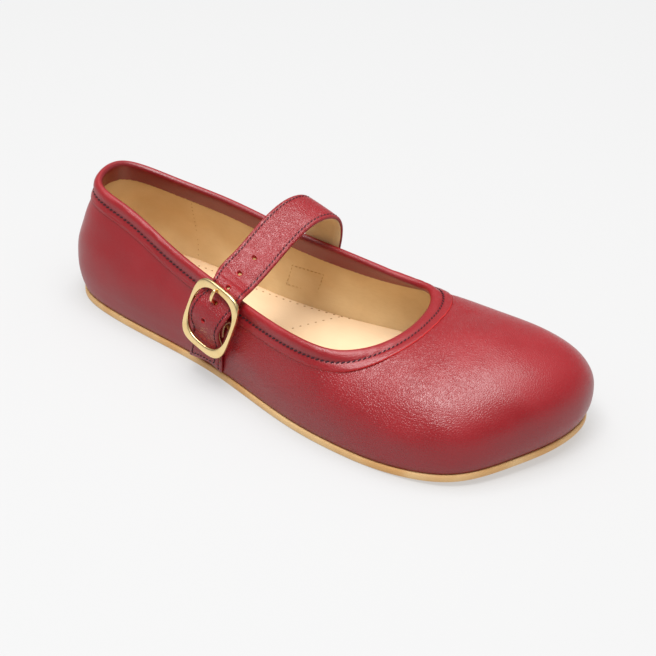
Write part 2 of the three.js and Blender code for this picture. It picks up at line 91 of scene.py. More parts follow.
SECTIONS = (
    Section("heel back", 0, 1, 9, 20, 2.4, 1.5, 100, 1, 16),
    Section("heel, outer corner", 2.8, -20, 10, 22, 5, -14.5, 97, 4, 16),
    Section("heel, outer side", 12, -29.5, 9, 20, 13.5, -20, 78, 4, 16),
    Section("rear waist, outer", 26, -33, 7, 19, 26, -25, 29, 3, 15),
    Section("strap, outer", 38, -36.5, 6, 19, 38, -31, 5, 2, 14),
    Section("waist, outer", 50, -43.5, 6, 19, 49, -37.5, -3, 2, 14),
    Section("ball rear, outer", 60, -49, 6, 19, 58, -42, 0, 4, 13),
    Section("ball, outer", 70.5, -51, 7, 20, 64.5, -41, 0, 6, 11),
    Section("little toe", 82, -48.5, 8, 22, 68.5, -33, 0, 12, 7),
    Section("toe, outer corner", 91, -38.5, 9, 25, 70.7, -22, 0, 22, 1),
    Section("toe front, outer", 96.5, -16, 12, 30, 71.6, -8.5, 0, 34, -4),
    Section("toe tip", 100, 12, 15, 33, 71.3, 5, 0, 42, -7),
    Section("toe, inner corner", 98, 37, 16, 32, 70.3, 16, 0, 38, -3),
    Section("big toe side", 89.5, 47.5, 12, 26, 68.5, 24.5, 0, 26, 1),
    Section("ball, inner", 76.5, 48, 8, 24, 65, 29.5, 0, 15, 5),
    Section("ball rear, inner", 63.5, 43.5, 6, 21, 58.5, 30, 0, 7, 9),
    Section("waist, inner", 50, 35, 5, 20, 48.5, 30, 3, 3, 14),
    Section("arch", 36, 30, 6, 20, 36, 28, 14, 2, 15),
    Section("rear waist, inner", 24, 30.5, 7, 20, 24, 26.5, 34, 2, 15),
    Section("heel, inner side", 11, 29.5, 8, 20, 12, 21, 58, 2, 16),
    Section("heel, inner corner", 2.8, 19.5, 9, 20, 4.4, 13, 87, 1, 16),
)


class Spline:
    """Values that run smoothly through rows at knots."""

    knots: Array
    values: Array
    span: Array
    slope: Array
    bend: Array

    def between(self, i: Array, j: Array, past: Array) -> Array:
        """Works out the values between two knots.

        Args:
            i: The knots before the places.
            j: The knots after them.
            past: How far each place is past its first knot.

        Returns:
            The values, in a new last axis.
        """
        h, d = self.span[i][..., None], past[..., None]
        near, far = self.bend[i], self.bend[j]
        first = self.slope[i] - h * (2 * near + far) / 6
        return self.values[i] + d * (first + d * (near / 2 + d * (far - near) / (6 * h)))


class LoopSpline(Spline):
    """Smooth closed curve through rows of values."""

    def __init__(self, knots: Array, values: Array) -> None:
        """Solves for the bend at each knot.

        Args:
            knots: Where each row lies on the loop, from 0 up to 1.
            values: One row of values for each knot.
        """
        n = len(values)
        i = np.arange(n)
        span = np.diff(np.append(knots, 1.0))
        slope = (np.roll(values, -1, axis=0) - values) / span[:, None]
        matrix = np.zeros((n, n))
        matrix[i, i - 1] += span[i - 1]
        matrix[i, i] += 2 * (span[i - 1] + span)
        matrix[i, (i + 1) % n] += span
        self.knots, self.values, self.span, self.slope = knots, values, span, slope
        self.bend = np.linalg.solve(matrix, 6 * (slope - np.roll(slope, 1, axis=0)))

    def at(self, u: Array) -> Array:
        """Finds the values at turns round the loop.

        Args:
            u: Turns round the loop.

        Returns:
            The values, in a new last axis.
        """
        turn = np.mod(u, 1.0)
        i = np.searchsorted(self.knots, turn, side="right") - 1
        return self.between(i, (i + 1) % len(self.knots), turn - self.knots[i])


def unit(vectors: Array) -> Array:
    """Returns the vectors at length 1."""
    return vectors / np.linalg.norm(vectors, axis=-1, keepdims=True)


def smoothstep(value: Array, low: float, high: float) -> Array:
    """Returns 0 below low, 1 above high and a smooth rise between."""
    t = np.clip((value - low) / (high - low), 0, 1)
    return t * t * (3 - 2 * t)


@dataclass
class Last:
    """The shape that the shoe is made on.

    Turns u run round the sole edge: heel back, outer side, toe, inner side.
    """

    length: float = 252
    ball_width: float = 97
    heel_height: float = 58.5
    throat_height: float = 42
    sole_thickness: float = 3.6
    sole_margin: float = 1.2
    toe_spring: float = 5
    spring_start: float = 185
    spring_curve: float = 1.8
    wall: float = 1.8
    gap: float = 0.3
    turn_step: float = 1e-4
    rise_step: float = 2e-3
    down_samples: int = 161
    search_rounds: int = 10
    curves: LoopSpline = field(init=False)
    centre: Array = field(init=False)

    def __post_init__(self) -> None:
        """Fits the curves, and finds the middle of the shoe on the ground."""
        rows = np.array([row[1:] for row in SECTIONS], float)
        rows[:, [0, 4]] *= self.length / 100
        rows[:, [1, 5]] *= self.ball_width / 100
        climb = self.heel_height - self.throat_height
        rows[:, 6] = self.throat_height + climb * rows[:, 6] / 100
        steps = np.linalg.norm(np.roll(rows[:, :2], -1, axis=0) - rows[:, :2], axis=1)
        self.curves = LoopSpline(np.append(0, np.cumsum(steps)[:-1]) / steps.sum(), rows)
        round_shoe, up_side = np.linspace(0, 1, 96, endpoint=False), np.linspace(0, 1, 11)
        outer = self.point(round_shoe[:, None], up_side)
        low, high = outer.min(axis=(0, 1)), outer.max(axis=(0, 1))
        self.centre = np.array([(low[0] + high[0]) / 2, (low[1] + high[1]) / 2, 0])

    def turn(self, name: str) -> float:
        """Returns the turn of a named section."""
        return float(self.curves.knots[[row.name for row in SECTIONS].index(name)])

    def spring(self, x: Array) -> Array:
        """Returns the height of the outsole's underside at x."""
        t = np.maximum((x - self.spring_start) / (self.length - self.spring_start), 0)
        return self.toe_spring * t ** self.spring_curve

    def edge(self, u: Array, inset: Array | float) -> Array:
        """Finds the sole edge in plan.

        Args:
            u: Turns round the shoe.
            inset: Millimetres to move inward.

        Returns:
            The places, as x and y.
        """
        here = self.curves.at(u)[..., :2]
        ahead = self.curves.at(u + self.turn_step)[..., :2]
        behind = self.curves.at(u - self.turn_step)[..., :2]
        tangent = unit(ahead - behind)
        outward = np.stack([tangent[..., 1], -tangent[..., 0]], axis=-1)
        return here - outward * np.asarray(inset)[..., None]

    def point(self, u: Array, v: Array) -> Array:
        """Finds points on the upper's outer face.

        Args:
            u: Turns round the shoe.
            v: From 0 at the sole edge to 1 at the topline, and straight on beyond it.

        Returns:
            The points.
        """
        u, v = np.broadcast_arrays(np.asarray(u, float), np.asarray(v, float))
        out, up, top_x, top_y, top_z, reach, drop = np.moveaxis(
            self.curves.at(u)[..., 2:], -1, 0)
        foot = self.edge(u, self.sole_margin)
        wide = self.edge(u, self.sole_margin - out)
        base = self.spring(foot[..., 0]) + self.sole_thickness + self.gap
        a = np.concatenate([foot, base[..., None]], axis=-1)
        b = np.concatenate([wide, (base + up)[..., None]], axis=-1)
        d = np.stack([top_x, top_y, top_z], axis=-1)
        back = a - d
        back[..., 2] = 0
        c = d + unit(back) * reach[..., None]
        c[..., 2] -= drop
        w = np.minimum(v, 1)[..., None]
        curve = ((1 - w) ** 3 * a + 3 * w * (1 - w) ** 2 * b + 3 * w * w * (1 - w) * c
                 + w ** 3 * d)
        return curve + (d - c) * 3 * np.maximum(v - 1, 0)[..., None]

    def normal(self, u: Array, v: Array) -> Array:
        """Finds the outward direction of the outer face.

        Args:
            u: Turns round the shoe.
            v: From 0 at the sole edge to 1 at the topline.

        Returns:
            The directions, at length 1.
        """
        u, v = np.broadcast_arrays(np.asarray(u, float), np.asarray(v, float))
        low = np.clip(v - self.rise_step / 2, 0, 1 - self.rise_step)
        around = self.point(u + self.turn_step, v) - self.point(u - self.turn_step, v)
        upward = self.point(u, low + self.rise_step) - self.point(u, low)
        return unit(np.cross(around, upward))

    def down(self, u: Array, distance: Array) -> Array:
        """Finds how high places below the topline are, measured on the outer face.

        Args:
            u: Turns, one for each row.
            distance: Millimetres below the topline, a row for each turn; above is negative.

        Returns:
            The places v from the sole edge up.
        """
        fine = np.linspace(1, 0, self.down_samples)
        line = self.point(u[:, None], fine)
        run = np.linalg.norm(np.diff(line, axis=1), axis=2)
        length = np.concatenate([np.zeros((len(u), 1)), np.cumsum(run, axis=1)], axis=1)
        v = np.stack([np.interp(row, reach, fine) for row, reach in zip(distance, length)])
        speed = (length[:, 1] / (fine[0] - fine[1]))[:, None]
        return np.where(distance < 0, 1 - distance / speed, v)

    def skin(self, u: Array, distance: Array, stand: Array | float) -> Array:
        """Returns points below the topline that stand off the outer face.

        Args:
            u: Turns, one for each row.
            distance: Millimetres below the topline, a row for each turn.
            stand: Millimetres outward from the face.
        """
        u, v = u[:, None], self.down(u, distance)
        return self.point(u, v) + self.normal(u, v) * np.asarray(stand)[..., None]

    def inside(self, u: Array, v: Array) -> Array:
        """Returns points on the lining, a wall's thickness in from the outer face."""
        return self.point(u, v) - self.normal(u, v) * self.wall

    def on_side(self, x: Array, z: Array, stand: Array | float,
                start: float) -> tuple[Array, Array]:
        """Finds the places at x and z on one side of the upper.

        Args:
            x: Distances from the heel.
            z: Heights.
            stand: Millimetres outward from the face.
            start: A turn near the places.

        Returns:
            The points, and the outward directions there.
        """
        x, z = np.broadcast_arrays(np.asarray(x, float), np.asarray(z, float))
        u, v, d = np.full(x.shape, start), np.full(x.shape, 0.5), self.turn_step
        for _ in range(self.search_rounds):
            p = self.point(u, v)
            pu = (self.point(u + d, v) - p) / d
            pv = (self.point(u, v + d) - p) / d
            area = pu[..., 0] * pv[..., 2] - pv[..., 0] * pu[..., 2]
            dx, dz = x - p[..., 0], z - p[..., 2]
            u = u + (dx * pv[..., 2] - dz * pv[..., 0]) / area
            v = v + (dz * pu[..., 0] - dx * pu[..., 2]) / area
        out = self.normal(u, v)
        return self.point(u, v) + out * np.asarray(stand)[..., None], out


# ---------------- meshes

def grid(rows: int, columns: int, round_rows: bool = False,
         round_columns: bool = False) -> Array:
    """Joins a grid of points, stored row by row, into quads.

    Args:
        rows: Number of rows.
        columns: Number of points in a row.
        round_rows: Whether the last row joins the first.
        round_columns: Whether each row is a ring.

    Returns:
        Rows of four point numbers.
    """
    i = np.arange(rows if round_rows else rows - 1)[:, None]
    j = np.arange(columns if round_columns else columns - 1)[None, :]
    i2, j2 = (i + 1) % rows, (j + 1) % columns
    quads = np.stack(np.broadcast_arrays(
        i * columns + j, i2 * columns + j, i2 * columns + j2, i * columns + j2), axis=-1)
    return quads.reshape(-1, 4)


def end_caps(rings: int, rows: int) -> Array:
    """Returns the quads that close both ends of a swept section.

    Args:
        rings: Number of places along the sweep.
        rows: Number of points in the section, which folds flat across its middle.

    Returns:
        Rows of four point numbers.
    """
    quads = []
    for first, turn in ((0, 1), ((rings - 1) * rows, -1)):
        for i in range((rows - 1) // 2):
            quad = [first + i, first + i + 1, first + rows - 2 - i, first + rows - 1 - i]
            quads.append(quad[::turn])
    return np.array(quads)


def catmull(points: Array, per_span: int, closed: bool = False) -> Array:
    """Draws a smooth run through places.

    Args:
        points: The places to pass, on the first axis.
        per_span: Steps from each place to the next.
        closed: Whether the run returns to its start.

    Returns:
        The points of the run.
    """
    n = len(points)
    if closed:
        padded = np.concatenate([points[-1:], points, points[:2]])
    else:
        before, after = 2 * points[:1] - points[1:2], 2 * points[-1:] - points[-2:-1]
        padded = np.concatenate([before, points, after])
    t = (np.arange(per_span) / per_span).reshape((-1,) + (1,) * (points.ndim - 1))
    runs = []
    for i in range(n if closed else n - 1):
        a, b, c, d = padded[i:i + 4]
        bend = 2 * a - 5 * b + 4 * c - d + t * (3 * b - a - 3 * c + d)
        runs.append(b + t / 2 * (c - a + t * bend))
    if not closed:
        runs.append(points[-1:])
    return np.concatenate(runs)


class SoftNoise:
    """Smooth, repeatable noise along one or two directions."""

    def __init__(self, seed: int, waves: int = 7) -> None:
        """Draws the waves.

        Args:
            seed: Fixes the draw.
            waves: How many waves are summed.
        """
        draw = np.random.default_rng(seed)
        self.turns = draw.uniform(0.6, 1.7, (waves, 2)) * draw.choice([-1, 1], (waves, 2))
        self.phase = draw.uniform(0, 2 * math.pi, waves)

    def at(self, a: Array, b: Array | float = 0.0) -> Array:
        """Sums the waves.

        Args:
            a: Places whose unit is one wave.
            b: The same in a second direction.

        Returns:
            Values of about -1 to 1.
        """
        total = sum(np.sin(2 * math.pi * (p * a + q * b) + r)
                    for (p, q), r in zip(self.turns, self.phase))
        return total / math.sqrt(2 * len(self.phase))


def place_object(name: str, data: bpy.types.ID) -> Piece:
    """Puts a new object in the scene.

    Args:
        name: Its name.
        data: Its mesh, lamp or lens.

    Returns:
        The object.
    """
    made = bpy.data.objects.new(name, data)
    bpy.context.scene.collection.objects.link(made)
    return made


def build_mesh(name: str, points: Array, quads: Array, centre: Array,
               finishes: tuple[Finish, ...],
               slots: Array | None = None) -> Piece:
    """Makes a smooth closed piece whose faces point outwards.

    Args:
        name: The piece's name.
        points: Its points, in millimetres from the heel.
        quads: Its faces.
        centre: The frame's origin, in the same millimetres.
        finishes: Its materials.
        slots: Which finish each face has.

    Returns:
        The piece, not yet riding on the shoe.
    """
    placed = (points.reshape(-1, 3) - centre) * MM
    a, b, c, d = (placed[quads[:, k]] for k in range(4))
    volume = (a * np.cross(b, c)).sum() + (a * np.cross(c, d)).sum()
    if volume < 0:
        quads = quads[:, ::-1]
    mesh = bpy.data.meshes.new(name)
    mesh.from_pydata(placed.tolist(), [], quads.tolist())
    for finish in finishes:
        mesh.materials.append(finish)
    if slots is not None:
        mesh.polygons.foreach_set("material_index", slots.astype(np.int32))
    mesh.polygons.foreach_set("use_smooth", np.ones(len(mesh.polygons), bool))
    return place_object(name, mesh)


def add_values(piece: Piece, name: str, values: Array) -> None:
    """Stores one number for each point of a piece, for its material to read."""
    made = piece.data.attributes.new(name, "FLOAT", "POINT")
    made.data.foreach_set("value", np.asarray(values, np.float32).ravel())


def weld(piece: Piece, reach: float = 1e-7) -> None:
    """Joins points that share a place, and drops faces left without area.

    Args:
        piece: The piece.
        reach: Metres within which points are one.
    """
    work = bmesh.new()
    work.from_mesh(piece.data)
    bmesh.ops.remove_doubles(work, verts=work.verts, dist=reach)
    bmesh.ops.dissolve_degenerate(work, edges=work.edges, dist=reach)
    work.to_mesh(piece.data)
    work.free()


def settle(piece: Piece, stands_for: str | None = None) -> None:
    """Lets a piece ride on the shoe, and reports it.

    Args:
        piece: The finished piece.
        stands_for: The CAD node that it is shown in place of.
    """
    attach(piece, BODY)
    if stands_for:
        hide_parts(stands_for)
    log.info("%s: %d faces", piece.name, len(piece.data.polygons))


def work_in(piece: Piece) -> None:
    """Turns a piece's modifiers into plain mesh, and removes them.

    Args:
        piece: The piece.
    """
    graph, before = bpy.context.evaluated_depsgraph_get(), piece.data
    made = bpy.data.meshes.new_from_object(piece.evaluated_get(graph))
    piece.modifiers.clear()
    piece.data = made
    bpy.data.meshes.remove(before)
    made.name = piece.name


def add_node(tree: bpy.types.NodeTree, kind: str, **settings: object) -> bpy.types.Node:
    """Adds a node to a tree.

    Args:
        tree: The tree.
        kind: The node's type.
        settings: Its properties.

    Returns:
        The node.
    """
    node = tree.nodes.new(kind)
    for name, value in settings.items():
        setattr(node, name, value)
    return node


def path_tree(name: str, inputs: dict[str, str],
              output: str) -> tuple[bpy.types.NodeTree, dict[str, str]]:
    """Starts a Geometry Nodes tree with named inputs.

    Args:
        name: The tree's name.
        inputs: Each input's name and its kind of socket.
        output: The name of the geometry that comes out.

    Returns:
        The tree, and the identifier of each input.
    """
    tree = bpy.data.node_groups.new(name, "GeometryNodeTree")
    face = tree.interface
    sockets = {key: face.new_socket(name=key, in_out="INPUT", socket_type=kind).identifier
               for key, kind in inputs.items()}
    face.new_socket(name=output, in_out="OUTPUT", socket_type="NodeSocketGeometry")
    return tree, sockets


def grow(piece: Piece, tree: bpy.types.NodeTree, sockets: dict[str, str],
         values: dict[str, object]) -> None:
    """Runs a Geometry Nodes tree on a piece and keeps what it makes.

    Args:
        piece: The paths that the tree follows.
        tree: The tree.
        sockets: The identifier of each input.
        values: What each input is set to, by name.
    """
    made = piece.modifiers.new(tree.name, "NODES")
    made.node_group = tree
    for name, value in values.items():
        made[sockets[name]] = value
    work_in(piece)


# ---------------- finishes

def tone(red: float, green: float, blue: float) -> Colour:
    """Turns a screen colour into the shader's.

    Args:
        red: From 0 to 255.
        green: From 0 to 255.
        blue: From 0 to 255.

    Returns:
        The linear colour.
    """
    def linear(value: float) -> float:
        """Undoes the screen's curve."""
        share = value / 255
        return share / 12.92 if share <= 0.04045 else ((share + 0.055) / 1.055) ** 2.4
    return linear(red), linear(green), linear(blue), 1.0


class Shader:
    """A material's nodes, with short calls to add and join them."""

    def __init__(self, name: str) -> None:
        """Starts a material with a Principled shader.

        Args:
            name: The material's name.
        """
        self.material = bpy.data.materials.new(name)
        self.material.use_nodes = True
        self.tree = self.material.node_tree
        self.surface = self.tree.nodes["Principled BSDF"]
        self.place = self.add("ShaderNodeTexCoord").outputs["Object"]

    def add(self, kind: str, **settings: object) -> bpy.types.Node:
        """Adds a node with its settings."""
        return add_node(self.tree, kind, **settings)

    def feed(self, socket: Socket, value: object) -> None:
        """Sets an input, or joins an output to it.

        Args:
            socket: The input.
            value: A constant, or the output of another node.
        """
        if isinstance(value, Socket):
            self.tree.links.new(value, socket)
        else:
            socket.default_value = value

    def sums(self, operation: str, a: object, b: object) -> Socket:
        """Adds a Math node.

        Args:
            operation: What the node does.
            a: Its first value.
            b: Its second value.

        Returns:
            The node's result.
        """
        node = self.add("ShaderNodeMath", operation=operation)
        self.feed(node.inputs[0], a)
        self.feed(node.inputs[1], b)
        return node.outputs[0]

    def spread(self, value: object, low: float, high: float, to_low: float = 0.0,
               to_high: float = 1.0) -> Socket:
        """Stretches a value from one range to another.

        Args:
            value: What is stretched.
            low: Its range starts here.
            high: Its range ends here.
            to_low: The new start.
            to_high: The new end.

        Returns:
            The new value, smoothly held at its ends.
        """
        node = self.add("ShaderNodeMapRange", interpolation_type="SMOOTHSTEP")
        for socket, given in zip(node.inputs, (value, low, high, to_low, to_high)):
            self.feed(socket, given)
        return node.outputs[0]

    def mix(self, share: object, a: object, b: object) -> Socket:
        """Blends two colours.

        Args:
            share: How much of b there is.
            a: One colour.
            b: The other.

        Returns:
            The blend.
        """
        node = self.add("ShaderNodeMix", data_type="RGBA")
        self.feed(node.inputs[0], share)
        self.feed(node.inputs[6], a)
        self.feed(node.inputs[7], b)
        return node.outputs[2]

    def scaled(self, size: tuple[float, float, float],
               place: Socket | None = None) -> Socket:
        """Counts places in cells.

        Args:
            size: A cell's size in millimetres.
            place: What is scaled, if not the place on the shoe.

        Returns:
            The place in cells.
        """
        node = self.add("ShaderNodeMapping")
        self.feed(node.inputs["Vector"], place or self.place)
        node.inputs["Scale"].default_value = [1 / (MM * value) for value in size]
        return node.outputs[0]

    def noise(self, size: float, detail: float = 3.0, rough: float = 0.5,
              place: Socket | None = None) -> Socket:
        """Adds noise.

        Args:
            size: Millimetres in a wave.
            detail: How many finer waves are added.
            rough: How strong these are.
            place: The place in waves, if already scaled.

        Returns:
            Values from 0 to 1.
        """
        node = self.add("ShaderNodeTexNoise")
        self.feed(node.inputs["Vector"], place or self.scaled((size, size, size)))
        node.inputs["Scale"].default_value = 1.0
        node.inputs["Detail"].default_value = detail
        node.inputs["Roughness"].default_value = rough
        return node.outputs[0]

    def stored(self, name: str) -> Socket:
        """Returns a number stored on the piece's points."""
        return self.add("ShaderNodeAttribute", attribute_name=name).outputs["Fac"]

    def bump(self, height: Socket, depth: float,
             under: Socket | None = None) -> Socket:
        """Turns a height into a normal.

        Args:
            height: From 0 to 1.
            depth: Millimetres at 1.
            under: The normal that it adds to.

        Returns:
            The normal.
        """
        node = self.add("ShaderNodeBump")
        node.inputs["Strength"].default_value = 1.0
        node.inputs["Distance"].default_value = depth * MM
        self.feed(node.inputs["Height"], height)
        if under is not None:
            self.feed(node.inputs["Normal"], under)
        return node.outputs[0]

    def finish(self, colour: object, roughness: object,
               normal: Socket | None = None,
               **constants: float) -> Finish:
        """Joins the results to the shader.

        Args:
            colour: The base colour.
            roughness: The roughness.
            normal: The normal.
            constants: Other inputs of the shader.

        Returns:
            The material.
        """
        self.feed(self.surface.inputs["Base Color"], colour)
        self.feed(self.surface.inputs["Roughness"], roughness)
        if normal is not None:
            self.feed(self.surface.inputs["Normal"], normal)
        for name, value in constants.items():
            label = name.replace("_", " ").title().replace("Ior", "IOR")
            self.surface.inputs[label].default_value = value
        return self.material


@dataclass(frozen=True)
class GrainLeather:
    """Dyed upper leather: satin, with a fine pebble that fades where it is stretched, and painted
    shade mixed in by a stored share.
    """

    name: str = "red_leather"
    dye: Colour = tone(144, 12, 23)
    deep: Colour = tone(137, 10, 20)
    # painted shade: the dark colour mixed in beside the sole, in stitch grooves and inside the
    # binding
    painted_shade_colour: Colour = tone(62, 10, 18)
    pebble: float = 1.1
    pebble_depth: float = 0.125
    pebble_wander: float = 2.6
    fine: float = 0.55
    fine_depth: float = 0.025
    roll: float = 7.0
    roll_depth: float = 0.1
    patch: float = 26.0
    roughness: float = 0.35
    specular: float = 0.62

    def build(self) -> Finish:
        """Builds the nodes, which read the stored numbers grain and painted shade.

        Returns:
            The material.
        """
        s = Shader(self.name)
        grain = s.stored("grain")
        bend = s.add("ShaderNodeTexNoise")
        s.feed(bend.inputs["Vector"], s.scaled((self.pebble_wander,) * 3))
        bend.inputs["Scale"].default_value = 1.0
        shift = s.add("ShaderNodeVectorMath", operation="MULTIPLY_ADD")
        s.feed(shift.inputs[0], bend.outputs["Color"])
        shift.inputs[1].default_value = (0.9, 0.9, 0.9)
        s.feed(shift.inputs[2], s.scaled((self.pebble * 0.75, self.pebble, self.pebble)))
        cells = s.add("ShaderNodeTexVoronoi", feature="DISTANCE_TO_EDGE")
        s.feed(cells.inputs["Vector"], shift.outputs[0])
        cells.inputs["Scale"].default_value = 1.0
        pebbles = s.spread(cells.outputs["Distance"], 0.0, 0.28)
        wander = s.noise(9.0, 2.0)
        where = s.sums("MULTIPLY", grain, s.spread(wander, 0.3, 0.6, 0.75, 1.0))
        height = s.sums("MULTIPLY", pebbles, where)
        fine = s.noise(self.fine, 2.0, 0.6)
        rolls = s.noise(self.roll, 2.0, 0.45)
        normal = s.bump(rolls, self.roll_depth)
        normal = s.bump(fine, self.fine_depth, normal)
        normal = s.bump(height, self.pebble_depth, normal)
        patches = s.spread(s.noise(self.patch, 3.0), 0.35, 0.65)
        colour = s.mix(patches, self.deep, self.dye)
        crack = s.spread(cells.outputs["Distance"], 0.0, 0.12, 0.35, 0.0)
        valley = s.sums("MULTIPLY", where, crack)
        colour = s.mix(valley, colour, self.deep)
        # painted shade: darkens the leather by the stored share of painted shade
        colour = s.mix(s.stored("painted_shade"), colour, self.painted_shade_colour)
        roughness = s.spread(patches, 0, 1, self.roughness - 0.03, self.roughness + 0.05)
        return s.finish(colour, roughness, normal, specular_ior_level=self.specular)


@dataclass(frozen=True)
class PlainLeather:
    """Undyed lining or insole leather: smooth, matt, a little mottled."""

    name: str
    pale: Colour
    dark: Colour
    cloud: float = 34.0
    fibre: Triple = (5.0, 0.7, 0.9)
    wave_depth: float = 0.12
    pore: float = 0.5
    pore_depth: float = 0.012
    roughness: float = 0.62
    specular: float = 0.35

    def build(self) -> Finish:
        """Builds the nodes.

        Returns:
            The material.
        """
        s = Shader(self.name)
        clouds = s.spread(s.noise(self.cloud, 4.0, 0.55), 0.3, 0.7)
        fibres = s.noise(0.0, 2.0, 0.6, s.scaled(self.fibre))
        colour = s.mix(clouds, self.dark, self.pale)
        colour = s.mix(s.spread(fibres, 0.35, 0.75, 0.0, 0.22), colour, self.dark)
        normal = s.bump(s.noise(9.0, 3.0), self.wave_depth)
        normal = s.bump(s.noise(self.pore, 3.0, 0.65), self.pore_depth, normal)
        return s.finish(colour, self.roughness, normal, specular_ior_level=self.specular)


@dataclass(frozen=True)
class SoleRubber:
    """Tan gum rubber, matt, with a faint speckle, and painted shade mixed in by a stored share."""

    name: str = "sole_rubber"
    tan: Colour = tone(232, 192, 136)
    amber: Colour = tone(216, 164, 102)
    # painted shade: the dark colour mixed in where the upper meets the sole
    painted_shade_colour: Colour = tone(150, 70, 40)
    cloud: float = 18.0
    speck: float = 0.8
    grain: float = 0.7
    grain_depth: float = 0.03
    roughness: float = 0.55
    specular: float = 0.4

    def build(self) -> Finish:
        """Builds the nodes.

        Returns:
            The material.
        """
        s = Shader(self.name)
        colour = s.mix(s.spread(s.noise(self.cloud, 4.0), 0.3, 0.7), self.amber, self.tan)
        specks = s.spread(s.noise(self.speck, 2.0), 0.55, 0.8, 0.0, 0.25)
        colour = s.mix(specks, colour, self.amber)
        # painted shade: darkens the rubber by the stored share of painted shade
        colour = s.mix(s.stored("painted_shade"), colour, self.painted_shade_colour)
        normal = s.bump(s.noise(self.grain, 3.0, 0.6), self.grain_depth)
        return s.finish(colour, self.roughness, normal, specular_ior_level=self.specular)


@dataclass(frozen=True)
class PaleGold:
    """Polished pale gold plating with faint hairlines."""

    name: str = "pale_gold"
    gold: Colour = tone(246, 218, 160)
    amber: Colour = tone(232, 190, 118)
    hairline: Triple = (0.25, 0.25, 4.0)
    hairline_depth: float = 0.004
    cloud: float = 6.0
    roughness: float = 0.2

    def build(self) -> Finish:
        """Builds the nodes.

        Returns:
            The material.
        """
        s = Shader(self.name)
        hairs = s.noise(0.0, 3.0, 0.6, s.scaled(self.hairline))
        cloud = s.noise(self.cloud, 2.0)
        roughness = s.spread(cloud, 0.3, 0.7, self.roughness - 0.04, self.roughness + 0.06)
        colour = s.mix(s.spread(cloud, 0.4, 0.7, 0.0, 0.35), self.gold, self.amber)
        return s.finish(colour, roughness, s.bump(hairs, self.hairline_depth), metallic=1.0)


@dataclass(frozen=True)
class Thread:
    """Sewing thread, with its twist as a fine ripple."""

    name: str
    colour: Colour
    light: Colour
    twist: float = 0.35
    twist_depth: float = 0.05
    roughness: float = 0.8

    def build(self) -> Finish:
        """Builds the nodes.

        Returns:
            The material.
        """
        s = Shader(self.name)
        twist = s.noise(self.twist, 2.0, 0.6)
        colour = s.mix(s.spread(twist, 0.4, 0.7), self.colour, self.light)
        return s.finish(colour, self.roughness, s.bump(twist, self.twist_depth))


@dataclass(frozen=True)
class CutEdge:
    """The bare cut edge of leather."""

    name: str
    bright: Colour
    dark: Colour
    fibre: float = 0.5
    fibre_depth: float = 0.08
    roughness: float = 0.8

    def build(self) -> Finish:
        """Builds the nodes.

        Returns:
            The material.
        """
        s = Shader(self.name)
        fibres = s.noise(self.fibre, 3.0, 0.7)
        colour = s.mix(s.spread(fibres, 0.3, 0.7), self.dark, self.bright)
        return s.finish(colour, self.roughness, s.bump(fibres, self.fibre_depth))


class Finishes:
    """All the materials, made once."""

    def __init__(self) -> None:
        """Builds each material."""
        self.leather = GrainLeather().build()
        self.lining = PlainLeather("lining_leather", tone(224, 196, 148),
                                   tone(208, 176, 128)).build()
        self.insole = PlainLeather("insole_leather", tone(238, 210, 172),
                                   tone(230, 199, 160)).build()
        self.sole = SoleRubber().build()
        self.gold = PaleGold().build()
        self.dark_thread = Thread("dark_thread", tone(40, 8, 22), tone(66, 18, 34)).build()
        self.beige_thread = Thread("beige_thread", tone(190, 150, 98), tone(214, 178, 128)).build()
        # pinhole dots: darker discs standing for holes, coloured partly as the cut edge and partly
        # as painted shade inside the hole
        self.pinhole = CutEdge("pinhole", tone(186, 146, 100), tone(166, 126, 84)).build()
        self.raw_red = CutEdge("raw_red_edge", tone(206, 40, 40), tone(166, 28, 32)).build()
        self.raw_cream = CutEdge("raw_cream_edge", tone(206, 172, 128), tone(160, 112, 76)).build()


# ---------------- rows along a seam

